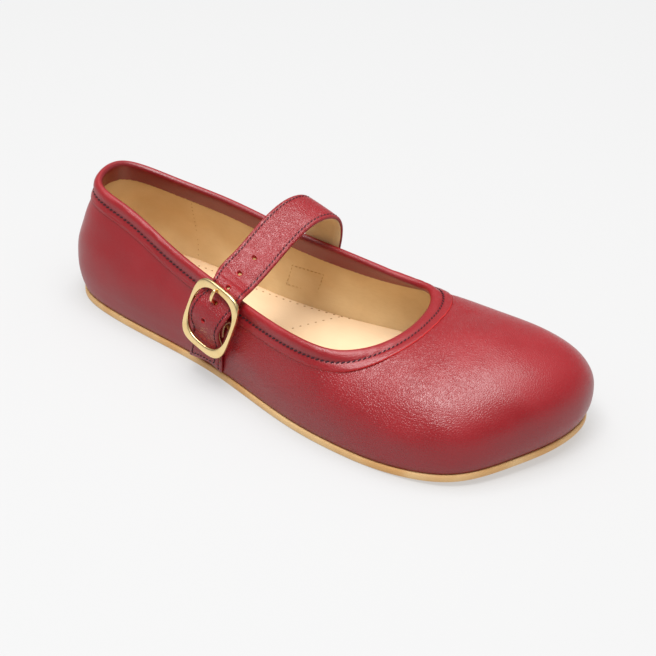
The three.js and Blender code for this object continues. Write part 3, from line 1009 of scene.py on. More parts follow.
class RowTree:
    """Geometry Nodes that lay small marks at an even pitch along a path."""

    SIZES = ("Pitch", "Length", "Width", "Height", "Slant", "Lift", "Unevenness")

    def __init__(self, mark: Mark) -> None:
        """Builds the node tree for one kind of mark.

        Args:
            mark: What the tree lays.
        """
        self.mark = mark
        inputs = {"Path": "NodeSocketGeometry", **dict.fromkeys(self.SIZES, "NodeSocketFloat"),
                  "Seed": "NodeSocketInt", "Finish": "NodeSocketMaterial"}
        self.tree, self.sockets = path_tree(f"row_of_{mark.value}", inputs, "Row")
        self._nodes()

    def _nodes(self) -> None:
        """Adds and joins the nodes."""
        add, link = partial(add_node, self.tree), self.tree.links.new
        given, made = add("NodeGroupInput"), add("NodeGroupOutput")
        curve = add("GeometryNodeMeshToCurve")
        even = add("GeometryNodeResampleCurve", mode="LENGTH")
        up = add("GeometryNodeInputNamedAttribute", data_type="FLOAT_VECTOR")
        up.inputs["Name"].default_value = UP
        axes = add("FunctionNodeAxesToRotation", primary_axis="X", secondary_axis="Z")
        uneven = add("FunctionNodeRandomValue", data_type="FLOAT")
        lower = add("ShaderNodeMath", operation="MULTIPLY")
        angle = add("ShaderNodeMath", operation="ADD")
        lower.inputs[1].default_value = -1.0
        slant = add("FunctionNodeAxisAngleToRotation")
        slant.inputs["Axis"].default_value = (0, 0, 1)
        turn = add("FunctionNodeRotateRotation", rotation_space="LOCAL")
        size, rise = add("ShaderNodeCombineXYZ"), add("ShaderNodeCombineXYZ")
        shape = self._shape()
        scale, place = add("GeometryNodeTransform"), add("GeometryNodeInstanceOnPoints")
        lift = add("GeometryNodeTranslateInstances")
        real, smooth = add("GeometryNodeRealizeInstances"), add("GeometryNodeSetShadeSmooth")
        coat = add("GeometryNodeSetMaterial")
        tangent = add("GeometryNodeInputTangent")
        floats = [k for k, way in enumerate(uneven.inputs) if way.type == "VALUE"]
        drawn = [k for k, way in enumerate(uneven.outputs) if way.type == "VALUE"][0]
        for start, out, end, into in (
                (given, "Path", curve, "Mesh"), (curve, 0, even, "Curve"),
                (given, "Pitch", even, "Length"), (tangent, 0, axes, "Primary Axis"),
                (up, "Attribute", axes, "Secondary Axis"), (given, "Unevenness", lower, 0),
                (lower, 0, uneven, floats[0]), (given, "Unevenness", uneven, floats[1]),
                (given, "Seed", uneven, "Seed"), (given, "Slant", angle, 0),
                (uneven, drawn, angle, 1), (angle, 0, slant, "Angle"),
                (axes, 0, turn, "Rotation"), (slant, 0, turn, "Rotate By"),
                (given, "Length", size, "X"), (given, "Width", size, "Y"),
                (given, "Height", size, "Z"), (given, "Lift", rise, "Z"),
                (shape, "Mesh", scale, "Geometry"), (size, 0, scale, "Scale"),
                (even, 0, place, "Points"), (scale, 0, place, "Instance"),
                (turn, 0, place, "Rotation"), (place, 0, lift, "Instances"),
                (rise, 0, lift, "Translation"), (lift, 0, real, 0), (real, 0, smooth, 0),
                (smooth, 0, coat, "Geometry"), (given, "Finish", coat, "Material"),
                (coat, 0, made, "Row")):
            link(start.outputs[out], end.inputs[into])

    def _shape(self) -> bpy.types.Node:
        """Adds the mark's own shape.

        Returns:
            The node, whose mesh is 1 across.
        """
        kind, sizes = {
            Mark.THREAD: ("UVSphere", {"Segments": 8, "Rings": 6, "Radius": 0.5}),
            Mark.PINHOLE: ("Cylinder", {"Vertices": 10, "Radius": 0.5, "Depth": 1.0}),
        }[self.mark]
        shape = add_node(self.tree, f"GeometryNodeMesh{kind}")
        for name, value in sizes.items():
            shape.inputs[name].default_value = value
        return shape


@dataclass(frozen=True)
class Row:
    """A row of stitches or pinholes: sizes in millimetres, slant in degrees."""

    mark: Mark
    pitch: float
    long: float
    wide: float
    tall: float
    slant: float = 0.0
    lift: float = 0.0
    uneven: float = 3.0
    seed: int = 3


COLLAR_ROW = Row(Mark.THREAD, 2.3, 2.0, 0.62, 0.55, 24, 0.1)
STRAP_ROW = Row(Mark.THREAD, 2.1, 1.75, 0.55, 0.45, 16, 0.06)
FINE_ROW = Row(Mark.THREAD, 2.2, 1.5, 0.4, 0.3, 0, 0.0)
# pinholes are flat discs sunk a little into the surface; their darkness is partly painted shade of
# the hole
INSOLE_ROW = Row(Mark.PINHOLE, 3.7, 1.15, 0.75, 0.3, 0, -0.11)
LINING_ROW = Row(Mark.PINHOLE, 2.6, 0.6, 0.5, 0.3, 0, -0.11)


@dataclass
class Sewing:
    """Lays rows along paths, and joins the rows of one piece into one mesh."""

    centre: Array
    trees: dict[Mark, RowTree] = field(default_factory=dict)

    def row(self, name: str, points: Array, ups: Array, row: Row,
            finish: Finish, closed: bool = False) -> Piece:
        """Lays one row.

        Args:
            name: The row's name.
            points: The path, in millimetres.
            ups: The outward direction at each point.
            row: What the row is made of.
            finish: Its material.
            closed: Whether the path is a ring.

        Returns:
            The row as a plain mesh.
        """
        tree = self.trees.get(row.mark) or self.trees.setdefault(row.mark, RowTree(row.mark))
        last = len(points) - 1
        edges = [(i, i + 1) for i in range(last)] + ([(last, 0)] if closed else [])
        mesh = bpy.data.meshes.new(name)
        mesh.from_pydata(((points - self.centre) * MM).tolist(), edges, [])
        made = mesh.attributes.new(UP, "FLOAT_VECTOR", "POINT")
        made.data.foreach_set("vector", ups.astype(np.float32).ravel())
        piece = place_object(name, mesh)
        sizes = (row.pitch * MM, row.long * MM, row.wide * MM, row.tall * MM,
                 math.radians(row.slant), row.lift * MM, math.radians(row.uneven))
        values = dict(zip(RowTree.SIZES, map(float, sizes)), Seed=row.seed, Finish=finish)
        grow(piece, tree.tree, tree.sockets, values)
        return piece

    def join(self, name: str, rows: list[Piece]) -> Piece:
        """Joins rows into one piece.

        Args:
            name: Its name.
            rows: The rows.

        Returns:
            The piece.
        """
        first = rows[0]
        with bpy.context.temp_override(active_object=first, selected_editable_objects=rows):
            bpy.ops.object.join()
        first.name = name
        return first


@dataclass
class Part:
    """A sub-assembly, with what each one is made from."""

    last: Last
    finishes: Finishes
    sewing: Sewing


# ---------------- upper

CREASE_FADE = 0.3  # share of a crease over which each end fades


@dataclass(frozen=True)
class Crease:
    """A soft fold across the upper's outer face, between two places in plan.

    depth is negative for a ridge; reach is half the fold's width.
    """

    x: float
    y: float
    to_x: float
    to_y: float
    depth: float
    reach: float

    def at(self, points: Array) -> Array:
        """Finds how far the fold pushes the leather in.

        Args:
            points: Points on the outer face.

        Returns:
            Millimetres pushed in at each.
        """
        start = np.array([self.x, self.y])
        run = np.array([self.to_x, self.to_y]) - start
        along = np.clip(((points[..., :2] - start) @ run) / (run @ run), 0, 1)
        off = points[..., :2] - start - along[..., None] * run
        ends = smoothstep(along, 0.0, CREASE_FADE) * smoothstep(1 - along, 0.0, CREASE_FADE)
        return self.depth * ends * np.exp(-(off ** 2).sum(axis=-1) / self.reach ** 2)


CREASES = (
    Crease(193, -28, 168, -44, 0.35, 3.0),
    Crease(203, -20, 181, -40, 0.25, 3.5),
    Crease(190, 4, 196, 26, 0.3, 3.5),
    Crease(184, 18, 172, 38, 0.3, 3.0),
    Crease(150, -38, 128, -41, 0.25, 3.0),
    Crease(60, -28, 84, -33, 0.2, 4.0),
)


@dataclass
class Upper(Part):
    """The red upper with its beige lining, in one closed shell."""

    around: int = 640
    outer_rows: int = 72
    inner_rows: int = 34
    row_bias: float = 1.15
    tuck: float = 0.9
    sunk: float = 0.6
    foot_swell: float = 0.6
    lining_foot: float = 0.02
    ripple: float = 0.14
    ripple_size: Triple = (46, 38, 30)
    lining_ripple: float = 0.18
    # painted shade on the outer face's lowest rows and on the foot tucked onto the sole
    foot_painted_shade: float = 0.3
    tuck_painted_shade: float = 0.35

    def build(self) -> Piece:
        """Makes the shell.

        Returns:
            The upper, standing for its CAD node.
        """
        last = self.last
        u = np.arange(self.around)[:, None] / self.around
        rise = np.linspace(0, 1, self.outer_rows) ** self.row_bias
        outer, out = last.point(u, rise), last.normal(u, rise)
        noise = SoftNoise(5)
        clear = smoothstep(rise, 0, 0.12) * (1 - smoothstep(rise, 0.86, 0.97))
        dent = sum(crease.at(outer) for crease in CREASES)
        x, y, z = np.moveaxis(outer, -1, 0)
        long, wide, tall = self.ripple_size
        dent = dent + self.ripple * noise.at(x / long, y / wide + z / tall)
        outer = outer - out * (dent * clear)[..., None]
        swell = (self.foot_swell * (1 - smoothstep(rise, 0.0, 0.16))
                 * smoothstep(rise, -0.02, 0.015))
        outer = outer + out * swell[..., None] * [1, 1, 0]
        foot = last.edge(u, last.sole_margin + self.tuck)
        base = last.spring(foot[..., 0]) + last.sole_thickness - self.sunk
        foot = np.concatenate([foot, base[..., None]], axis=-1)
        fall = np.linspace(1, self.lining_foot, self.inner_rows)
        inner = last.inside(u, fall)
        sag = self.lining_ripple * noise.at(inner[..., 0] / 33 + 4, inner[..., 2] / 21)
        inner = inner + last.normal(u, fall) * (sag * smoothstep(1 - fall, 0.15, 0.4))[..., None]
        low = np.concatenate([inner[:, -1:, :2], base[..., None]], axis=-1)
        points = np.concatenate([foot, outer, inner, low], axis=1)
        rows = points.shape[1]
        quads = grid(self.around, rows, round_rows=True, round_columns=True)
        column = np.tile(np.arange(rows), self.around)
        slots = (column > self.outer_rows) & (column < rows - 1)
        piece = build_mesh("upper_shell", points, quads, last.centre,
                           (self.finishes.leather, self.finishes.lining), slots)
        add_values(piece, "grain", self._grain(points))
        add_values(piece, "painted_shade", self._painted_shade(points, rise))
        settle(piece, "upper")
        return piece

    def _grain(self, points: Array) -> Array:
        """Returns how strong the pebble is: least at the tight heel and toe."""
        x = points[..., 0]
        return 0.2 + 0.6 * smoothstep(x, 75, 135) * (1 - 0.7 * smoothstep(x, 195, 240))

    def _painted_shade(self, points: Array, rise: Array) -> Array:
        """Finds how much painted shade darkens the leather: most beside the sole.

        Args:
            points: The shell's points, a row for each turn.
            rise: How high each outer row is.

        Returns:
            From 0, not at all, to 1.
        """
        painted_shade = np.zeros(points.shape[:2])
        # painted shade: the tucked foot, then the outer face fading up from the sole
        painted_shade[:, 0] = self.tuck_painted_shade
        painted_shade[:, 1:self.outer_rows + 1] = self.foot_painted_shade * (1 - smoothstep(rise, 0.0, 0.045))
        return painted_shade


# ---------------- collar

@dataclass
class Collar(Part):
    """The rolled binding round the topline, its stitch groove and its cut edge.

    Each place of the profile is [millimetres below the topline, millimetres outward].
    """

    around: int = 760
    stitch_down: float = 5.05
    stitch_stand: float = 0.3
    stitch_samples: int = 1200
    groove_width: float = 0.7
    roll: tuple[Pair, ...] = (
        (8.75, 0.5), (8.2, 0.6), (7.0, 0.6), (5.95, 0.5), (5.3, 0.3), (4.95, 0.22), (4.6, 0.34),
        (3.9, 0.66), (2.9, 0.92), (1.6, 0.98), (0.4, 0.62), (-0.45, -0.15), (-0.7, -1.1),
        (-0.35, -2.05), (0.5, -2.65), (2.0, -2.75), (4.5, -2.55), (7.5, -2.35), (8.9, -2.25))
    back: tuple[Pair, ...] = ((9.1, -1.6), (6.0, -1.2), (2.0, -0.9), (6.0, -0.6), (9.35, -0.15))
    fine: int = 3
    wave: float = 0.12
    wave_size: float = 17
    ragged: float = 0.16
    ragged_size: float = 2.3

    def build(self) -> Piece:
        """Makes the binding as one closed ring.

        Returns:
            The binding.
        """
        roll = catmull(np.array(self.roll), self.fine)
        profile = np.concatenate([roll, np.array(self.back)])
        u = np.arange(self.around) / self.around
        down = np.tile(profile[:, 0], (self.around, 1))
        noise = SoftNoise(11)
        x = self.last.curves.at(u)[:, 0][:, None]
        side = np.sign(np.sin(2 * np.pi * u))[:, None]
        wave = self.wave * noise.at(x / self.wave_size, side * 3.3)
        cut = smoothstep(profile[:, 0], 7.0, 9.0)[None, :]
        ragged = self.ragged * noise.at(x / self.ragged_size) + 0.3 * wave
        stand = profile[:, 1] + wave * (profile[:, 1] > 0.6)
        points = self.last.skin(u, down + cut * ragged, stand)
        rows = len(profile)
        quads = grid(self.around, rows, round_rows=True, round_columns=True)
        column = np.tile(np.arange(rows), self.around)
        edge = (column >= rows - 1) | (column == len(roll) - 1)
        piece = build_mesh("collar_binding", points, quads, self.last.centre,
                           (self.finishes.leather, self.finishes.raw_red), edge)
        # the inside of the binding is darkened partly for its darker inner tone and partly as
        # painted shade; the stitch groove gets painted shade
        inside = smoothstep(-profile[:, 1], 1.0, 2.0)
        off = (profile[:, 0] - self.stitch_down) / self.groove_width
        groove = np.exp(-off ** 2) * (profile[:, 1] > -0.3)
        add_values(piece, "painted_shade", np.tile(0.3 * inside + 0.25 * groove, self.around))
        add_values(piece, "grain", np.full(self.around * rows, 0.35))
        settle(piece, None)
        return piece

    def stitches(self) -> Piece:
        """Lays the slanted stitches in the groove.

        Returns:
            The stitches.
        """
        u = np.linspace(0, 1, self.stitch_samples, endpoint=False)
        down = np.full((len(u), 1), self.stitch_down)
        path = self.last.skin(u, down, self.stitch_stand)[:, 0]
        ups = self.last.normal(u, self.last.down(u, down)[:, 0])
        piece = self.sewing.row("collar_stitches", path, ups, COLLAR_ROW,
                                self.finishes.dark_thread, closed=True)
        settle(piece)
        return piece


# ---------------- outsole and insole

class RibTree:
    """Geometry Nodes that draw a low rib along each path."""

    def __init__(self) -> None:
        """Builds the node tree."""
        inputs = {"Paths": "NodeSocketGeometry", "Width": "NodeSocketFloat",
                  "Finish": "NodeSocketMaterial"}
        self.tree, self.sockets = path_tree("sole_ribs", inputs, "Ribs")
        add, link = self.tree.nodes.new, self.tree.links.new
        given, out = add("NodeGroupInput"), add("NodeGroupOutput")
        curve, sweep = add("GeometryNodeMeshToCurve"), add("GeometryNodeCurveToMesh")
        ring = add("GeometryNodeCurvePrimitiveCircle")
        ring.inputs["Resolution"].default_value = 8
        real, coat = add("GeometryNodeRealizeInstances"), add("GeometryNodeSetMaterial")
        sweep.inputs["Fill Caps"].default_value = True
        link(given.outputs["Paths"], curve.inputs["Mesh"])
        link(given.outputs["Width"], ring.inputs["Radius"])
        link(curve.outputs[0], sweep.inputs["Curve"])
        link(ring.outputs["Curve"], sweep.inputs["Profile Curve"])
        link(sweep.outputs[0], real.inputs[0])
        link(real.outputs[0], coat.inputs["Geometry"])
        link(given.outputs["Finish"], coat.inputs["Material"])
        link(coat.outputs[0], out.inputs["Ribs"])


@dataclass
class Outline:
    """Matching stations on both sides of the sole edge, from heel to toe."""

    last: Last
    stations: int = 130
    samples: int = 6001

    def turns(self) -> Array:
        """Finds matching turns round the edge.

        Returns:
            Turns up the outer side, then back down the inner side.
        """
        fine = np.linspace(-0.25, 1.25, self.samples)
        x = self.last.edge(fine, 0.0)[:, 0]
        heel = int(np.argmin(np.where(np.abs(fine) < 0.15, x, np.inf)))
        toe = int(np.argmax(np.where(fine < 0.8, x, -np.inf)))
        again = int(np.argmin(np.where(np.abs(fine - 1) < 0.15, x, np.inf)))
        swing = (1 - np.cos(np.linspace(0, np.pi, self.stations + 1))) / 2
        wanted = x[heel] + (x[toe] - x[heel]) * swing
        outer = np.interp(wanted, x[heel:toe + 1], fine[heel:toe + 1])
        inner = np.interp(wanted, x[toe:again + 1][::-1], fine[toe:again + 1][::-1])
        return np.concatenate([outer, inner[-2:0:-1]])

    def fill(self, ring: Array, height: Height, across: int) -> Array:
        """Fills a ring with points.

        Args:
            ring: A closed row of points.
            height: Height at x and y.
            across: Steps across.

        Returns:
            Rows from the outer side to the inner side, heel to toe.
        """
        n = self.stations
        outer, inner = ring[:n + 1], np.concatenate([ring[:1], ring[:n - 1:-1]])
        t = np.linspace(0, 1, across + 1)[None, :, None]
        points = outer[:, None] * (1 - t) + inner[:, None] * t
        points[..., 2] = height(points[..., 0], points[..., 1])
        return points

    def plate(self, rings: list[Array], low: Height, high: Height,
              across: int = 24) -> tuple[Array, Array]:
        """Joins rings from the underside to the top, and fills both.

        Args:
            rings: Closed rows of points; the first lies on low and the last on high.
            low: Height of the underside at x and y.
            high: Height of the top at x and y.
            across: Steps across each filled face.

        Returns:
            Points and quads, with shared places repeated.
        """
        n = len(rings[0])
        side = np.stack(rings)
        parts = [side.reshape(-1, 3), self.fill(rings[0], low, across).reshape(-1, 3),
                 self.fill(rings[-1], high, across).reshape(-1, 3)]
        walls = grid(len(rings), n, round_columns=True)
        face = grid(self.stations + 1, across + 1)
        first = len(parts[0])
        quads = np.concatenate([walls[:, ::-1], face[:, ::-1] + first,
                                face + first + len(parts[1])])
        return np.concatenate(parts), quads


ARCH_MIDDLE, ARCH_REACH, ARCH_DEPTH = 100, 45, 1.2
ARCH_SIDE, ARCH_FULL = -10, 24


def arch_relief(x: Array, y: Array) -> Array:
    """Returns the hollow under the inner waist."""
    along = np.maximum(1 - ((x - ARCH_MIDDLE) / ARCH_REACH) ** 2, 0) ** 2
    return ARCH_DEPTH * along * smoothstep(y, ARCH_SIDE, ARCH_FULL)


@dataclass
class Outsole(Part):
    """The thin rubber sole: a rounded edge, and wavy ribs in a shallow recess below.

    Each place of the edge is [millimetres in from the outline, share of the thickness].
    """

    rim: float = 4.5
    recess: float = 0.45
    recess_slope: float = 0.35
    rib_pitch: float = 4.4
    rib_wave: float = 1.5
    rib_wave_length: float = 13
    rib_fade: float = 5
    rib_step: float = 1.1
    rib_radius: float = 0.85
    rib_margin: float = 1.6
    rib_stations: int = 260
    fields: tuple[Pair, ...] = ((10, 66), (146, 242))
    edge_profile: tuple[Pair, ...] = (
        (0.9, 0), (0.45, 0.03), (0.15, 0.12), (0.02, 0.28), (0, 0.5), (0.02, 0.72),
        (0.14, 0.88), (0.4, 0.97), (0.8, 1.0), (1.6, 1.0), (4, 1.0))
    # share of painted shade on the sole's top under the upper's edge
    seam_painted_shade: float = 0.3

    def build(self) -> Piece:
        """Makes the sole plate.

        Returns:
            The outsole, standing for its CAD node.
        """
        last, outline = self.last, Outline(self.last)
        u = outline.turns()
        thick = last.sole_thickness

        def ground(x: Array, y: Array) -> Array:
            """Height of the tread's ground level."""
            return last.spring(x) + arch_relief(x, y)

        def ring(inset: float, share: float, extra: float = 0.0) -> Array:
            """Makes a row round the edge.

            Args:
                inset: Millimetres in.
                share: Share of the thickness.
                extra: Millimetres above that.

            Returns:
                The row.
            """
            flat = last.edge(u, np.full(u.shape, inset))
            x, y = flat[:, 0], flat[:, 1]
            low = ground(x, y)
            z = low + (last.spring(x) + thick - low) * share + extra
            return np.column_stack([flat, z])

        rings = [ring(self.rim + self.recess_slope, 0, self.recess), ring(self.rim, 0)]
        rings += [ring(*place) for place in self.edge_profile]
        points, quads = outline.plate(rings, lambda x, y: ground(x, y) + self.recess,
                                      lambda x, y: last.spring(x) + thick)
        piece = build_mesh("outsole_plate", points, quads, last.centre, (self.finishes.sole,))
        # painted shade on the sole's top rings where the upper's foot meets it
        painted_shade = np.zeros(len(points))
        painted_shade[(len(rings) - 3) * len(u):(len(rings) - 1) * len(u)] = self.seam_painted_shade
        add_values(piece, "painted_shade", painted_shade)
        weld(piece)
        settle(piece, "outsole")
        return piece

    def ribs(self) -> Piece:
        """Draws the wavy ribs of the tread.

        Returns:
            The ribs.
        """
        last, half = self.last, self.rib_stations
        turns = Outline(last, half).turns()
        edge = last.edge(turns, np.full(turns.shape, self.rim + self.rib_margin))
        places, edges = [], []
        for start, end in self.fields:
            for x0 in np.arange(start, end, self.rib_pitch):
                outer = np.interp(x0, edge[:half + 1, 0], edge[:half + 1, 1])
                inner = np.interp(x0, edge[half:, 0][::-1], edge[half:, 1][::-1])
                y = np.linspace(outer, inner, max(int((inner - outer) / self.rib_step), 2))
                fade = np.minimum(1, np.minimum(y - outer, inner - y) / self.rib_fade)
                x = x0 + self.rib_wave * np.sin(2 * np.pi * y / self.rib_wave_length) * fade
                z = last.spring(x) + arch_relief(x, y) + self.rib_radius
                first = len(places)
                places.extend(np.column_stack([x, y, z]))
                edges.extend((first + i, first + i + 1) for i in range(len(y) - 1))
        mesh = bpy.data.meshes.new("rib_paths")
        mesh.from_pydata(((np.array(places) - last.centre) * MM).tolist(), edges, [])
        piece = place_object("tread_ribs", mesh)
        tree = RibTree()
        grow(piece, tree.tree, tree.sockets,
             {"Width": self.rib_radius * MM, "Finish": self.finishes.sole})
        settle(piece, None)
        return piece


@dataclass
class Insole(Part):
    """The beige footbed, softly hollowed, out to the lining all round.

    Each place of its rolls is [millimetres in, millimetres from its underside or top].
    """

    thickness: float = 3.0
    hollow: float = 0.5
    ball_share: float = 0.8
    into_lining: float = 0.35
    across: int = 40
    low_roll: tuple[Pair, ...] = ((3, 0), (1.5, 0), (0.4, 0.8))
    top_roll: tuple[Pair, ...] = (
        (0.0, 1.3), (0.25, 0.75), (0.7, 0.3), (1.4, 0.08), (2.4, 0.0), (4.5, 0.0))

    def top(self, x: Array, y: Array) -> Array:
        """Finds the footbed's height.

        Args:
            x: Distances from the heel.
            y: Distances to the inner side.

        Returns:
            The heights.
        """
        heel = np.exp(-((x - 34) / 24) ** 2 - (y / 17) ** 2)
        ball = np.exp(-((x - 165) / 34) ** 2 - ((y + 2) / 30) ** 2)
        level = self.last.spring(x) + self.last.sole_thickness + self.last.gap + self.thickness
        return level - self.hollow * (heel + self.ball_share * ball)

    def build(self) -> Piece:
        """Makes the footbed.

        Returns:
            The insole, standing for its CAD node.
        """
        last, outline = self.last, Outline(self.last)
        u = outline.turns()
        rise = np.linspace(0, 0.4, 60)
        wall = last.inside(u[:, None], rise)
        level = wall[:, :, 2] - self.top(wall[..., 0], wall[..., 1])
        reach = np.array([np.interp(0.0, row, rise) for row in level])[:, None]
        place = last.inside(u[:, None], reach)[:, 0]
        edge = last.edge(u, np.zeros(u.shape))
        inset = np.linalg.norm(place[:, :2] - edge, axis=1) - self.into_lining

        def ring(further: float, sink: float, top: bool = True) -> Array:
            """Makes a row round the footbed.

            Args:
                further: Millimetres in from the footbed's edge.
                sink: Millimetres from its top or underside.
                top: Whether it is the top.

            Returns:
                The row.
            """
            flat = last.edge(u, inset + further)
            x, y = flat[:, 0], flat[:, 1]
            low = last.spring(x) + last.sole_thickness
            return np.column_stack([flat, self.top(x, y) - sink if top else low + sink])

        rings = [ring(*place, top=False) for place in self.low_roll]
        rings += [ring(*place) for place in self.top_roll]
        points, quads = outline.plate(rings, lambda x, y: last.spring(x) + last.sole_thickness,
                                      self.top, self.across)
        piece = build_mesh("insole_footbed", points, quads, last.centre, (self.finishes.insole,))
        weld(piece)
        settle(piece, "insole")
        return piece


# ---------------- strap and buckle

@dataclass
class BucklePlace:
    """The buckle's own places, on the outer side of the upper.

    a runs across the strap to the front, b up along the strap, h outward.
    """

    last: Last
    x: float = 102.6
    z: float = 32.0
    lean: float = math.radians(14)

    def at(self, a: Array, b: Array, h: Array) -> Array:
        """Finds points beside the buckle.

        Args:
            a: To the front.
            b: Up along the strap.
            h: Outward from the upper.

        Returns:
            The points.
        """
        a, b, h = np.broadcast_arrays(np.asarray(a, float), b, h)
        x = self.x + a * math.cos(self.lean) + b * math.sin(self.lean)
        z = self.z - a * math.sin(self.lean) + b * math.cos(self.lean)
        return self.last.on_side(x, z, h, self.last.turn("strap, outer"))[0]


@dataclass
class FramePlane:
    """The flat plane of the frame's front face: a to the front, b up, h outward."""

    centre: Triple = (101.06, -41.9, 33.8)
    across: Triple = (0.971, -0.123, -0.205)
    upward: Triple = (0.227, 0.214, 0.95)

    def at(self, a: Array, b: Array, h: Array) -> Array:
        """Finds points on or off the plane.

        Args:
            a: To the front.
            b: Up.
            h: Outward from the plane.

        Returns:
            The points.
        """
        a, b, h = np.broadcast_arrays(np.asarray(a, float), b, h)
        across = unit(np.array(self.across))
        upward = np.array(self.upward)
        upward = unit(upward - across * (upward @ across))
        outward = np.cross(across, upward)
        return (np.array(self.centre) + a[..., None] * across + b[..., None] * upward
                + h[..., None] * outward)


class OpenSpline(Spline):
    """Smooth run through rows of values, natural at both ends."""

    def __init__(self, knots: Array, values: Array) -> None:
        """Solves for the bend at each knot.

        Args:
            knots: Where each row lies.
            values: One row of values for each knot.
        """
        n = len(knots)
        span = np.diff(knots)
        slope = np.diff(values, axis=0) / span[:, None]
        matrix, right = np.eye(n), np.zeros_like(values)
        for i in range(1, n - 1):
            matrix[i, i - 1:i + 2] = span[i - 1], 2 * (span[i - 1] + span[i]), span[i]
            right[i] = 6 * (slope[i] - slope[i - 1])
        self.knots, self.values, self.span, self.slope = knots, values, span, slope
        self.bend = np.linalg.solve(matrix, right)

    def at(self, s: Array) -> Array:
        """Finds the values at places.

        Args:
            s: Places, also beyond the ends, where the run is straight.

        Returns:
            The values, in a new last axis.
        """
        s = np.asarray(s, float)
        i = np.clip(np.searchsorted(self.knots, s, side="right") - 1, 0, len(self.span) - 1)
        return self.between(i, i + 1, s - self.knots[i])


@dataclass
class StrapPath:
    """The strap's run, from its sewn end on the inner side to its free tail.

    inner holds [x, z] on the inner side; bridge holds [x, y, z, tip in degrees] over the
    opening; framed holds [rear edge, front edge, b, h] in the frame's plane; tail holds
    [rear b, front b, shift to the front] on the outer side.
    """

    last: Last
    width: float = 17.4
    bridge_width: float = 18.4
    thickness: float = 2.4
    tail_stand: float = 3.2
    probe: float = 0.05
    inner: tuple[Pair, ...] = ((97, 11.7), (100, 19.7), (105, 32.7), (108.5, 42.7))
    bridge: tuple[tuple[float, float, float, float], ...] = (
        (109.5, 30.8, 52.3, 8), (109.5, 28, 60.2, 14), (108.4, 18.5, 64.4, 17), (107, 6, 62.8, 19),
        (105.9, -8, 56.9, 20), (105.6, -20, 52.1, 20), (104.9, -29.5, 48.3, 18))
    framed: tuple[tuple[float, float, float, float], ...] = (
        (-7.6, 10.4, 15.5, -3.6), (-8.3, 9.9, 12.7, -3.7), (-8.9, 9.5, 10.1, -3.55),
        (-9.8, 9, 7.5, -2.3), (-10.7, 8.6, 4.5, -0.7), (-11.2, 8.1, 1.5, -0.1),
        (-11.3, 7.6, -1.5, -0.1), (-10.9, 7.5, -4.5, -0.7), (-10, 8, -7.5, -2.1),
        (-9, 8.6, -10.3, -3.6), (-8.7, 8.7, -13, -3.9))
    tail: tuple[Triple, ...] = (
        (-16, -16, -0.2), (-20, -18.5, -0.4), (-24.5, -20, -0.9), (-28.6, -21.2, -1.5))

    def __post_init__(self) -> None:
        """Fits the run."""
        last, buckle, half = self.last, BucklePlace(self.last), self.width / 2
        stand, wide = 2 * last.gap + self.thickness / 2, self.bridge_width / 2
        lean, rear, front = buckle.lean, [], []
        for x, z in self.inner:
            way = wide * np.array([-1, 1])
            side = last.on_side(x + way * math.cos(lean), z - way * math.sin(lean), stand,
                                last.turn("arch"))[0]
            rear.append(side[0])
            front.append(side[1])
        for x, y, z, tip in self.bridge:
            tip = math.radians(tip)
            aside = np.array([math.cos(tip), 0, -math.sin(tip)]) * wide
            rear.append(np.array([x, y, z]) - aside)
            front.append(np.array([x, y, z]) + aside)
        rear_a, front_a, b, h = np.array(self.framed).T
        plane = FramePlane()
        rear_b, front_b, aside = np.array(self.tail).T
        rear = np.concatenate([rear, plane.at(rear_a, b, h),
                               buckle.at(aside - half, rear_b, self.tail_stand)])
        front = np.concatenate([front, plane.at(front_a, b, h),
                                buckle.at(aside + half, front_b, self.tail_stand)])
        middle, reach = (rear + front) / 2, np.linalg.norm(front - rear, axis=1)[:, None]
        steps = np.linalg.norm(np.diff(middle, axis=0), axis=1)
        self.knots = np.append(0, np.cumsum(steps))
        rows = np.hstack([middle, (front - rear) / reach, reach / 2 / half])
        self.run = OpenSpline(self.knots, rows)
        self.end = float(self.knots[-1])

    def reach(self, b: float) -> float:
        """Finds how far along the strap a place on the frame is.

        Args:
            b: A place up the frame's face.

        Returns:
            Millimetres from the sewn end.
        """
        first = len(self.inner) + len(self.bridge)
        knots = self.knots[first:first + len(self.framed)]
        return float(np.interp(-b, [-row[2] for row in self.framed], knots)
                     - max(b - self.framed[0][2], 0))

    def spread(self, s: Array) -> Array:
        """Returns how many times wider the strap is than at the buckle."""
        return self.run.at(s)[..., 6]

    def frame(self, s: Array) -> tuple[Array, Array, Array]:
        """Finds how the strap lies.

        Args:
            s: Millimetres along the strap.

        Returns:
            The middle, the direction to the front, and outward.
        """
        here = self.run.at(s)
        ahead, behind = self.run.at(s + self.probe), self.run.at(s - self.probe)
        tangent = unit(ahead[..., :3] - behind[..., :3])
        across = unit(here[..., 3:6])
        outward = unit(np.cross(tangent, across))
        return here[..., :3], across, outward

    def place(self, s: Array, w: Array, h: Array) -> Array:
        """Finds points on or off the strap.

        Args:
            s: Millimetres along the strap.
            w: To the front; it grows with the strap.
            h: Outward.

        Returns:
            The points.
        """
        s, w, h = np.broadcast_arrays(np.asarray(s, float), w, h)
        middle, across, outward = self.frame(s)
        return middle + across * (w * self.spread(s))[..., None] + outward * h[..., None]


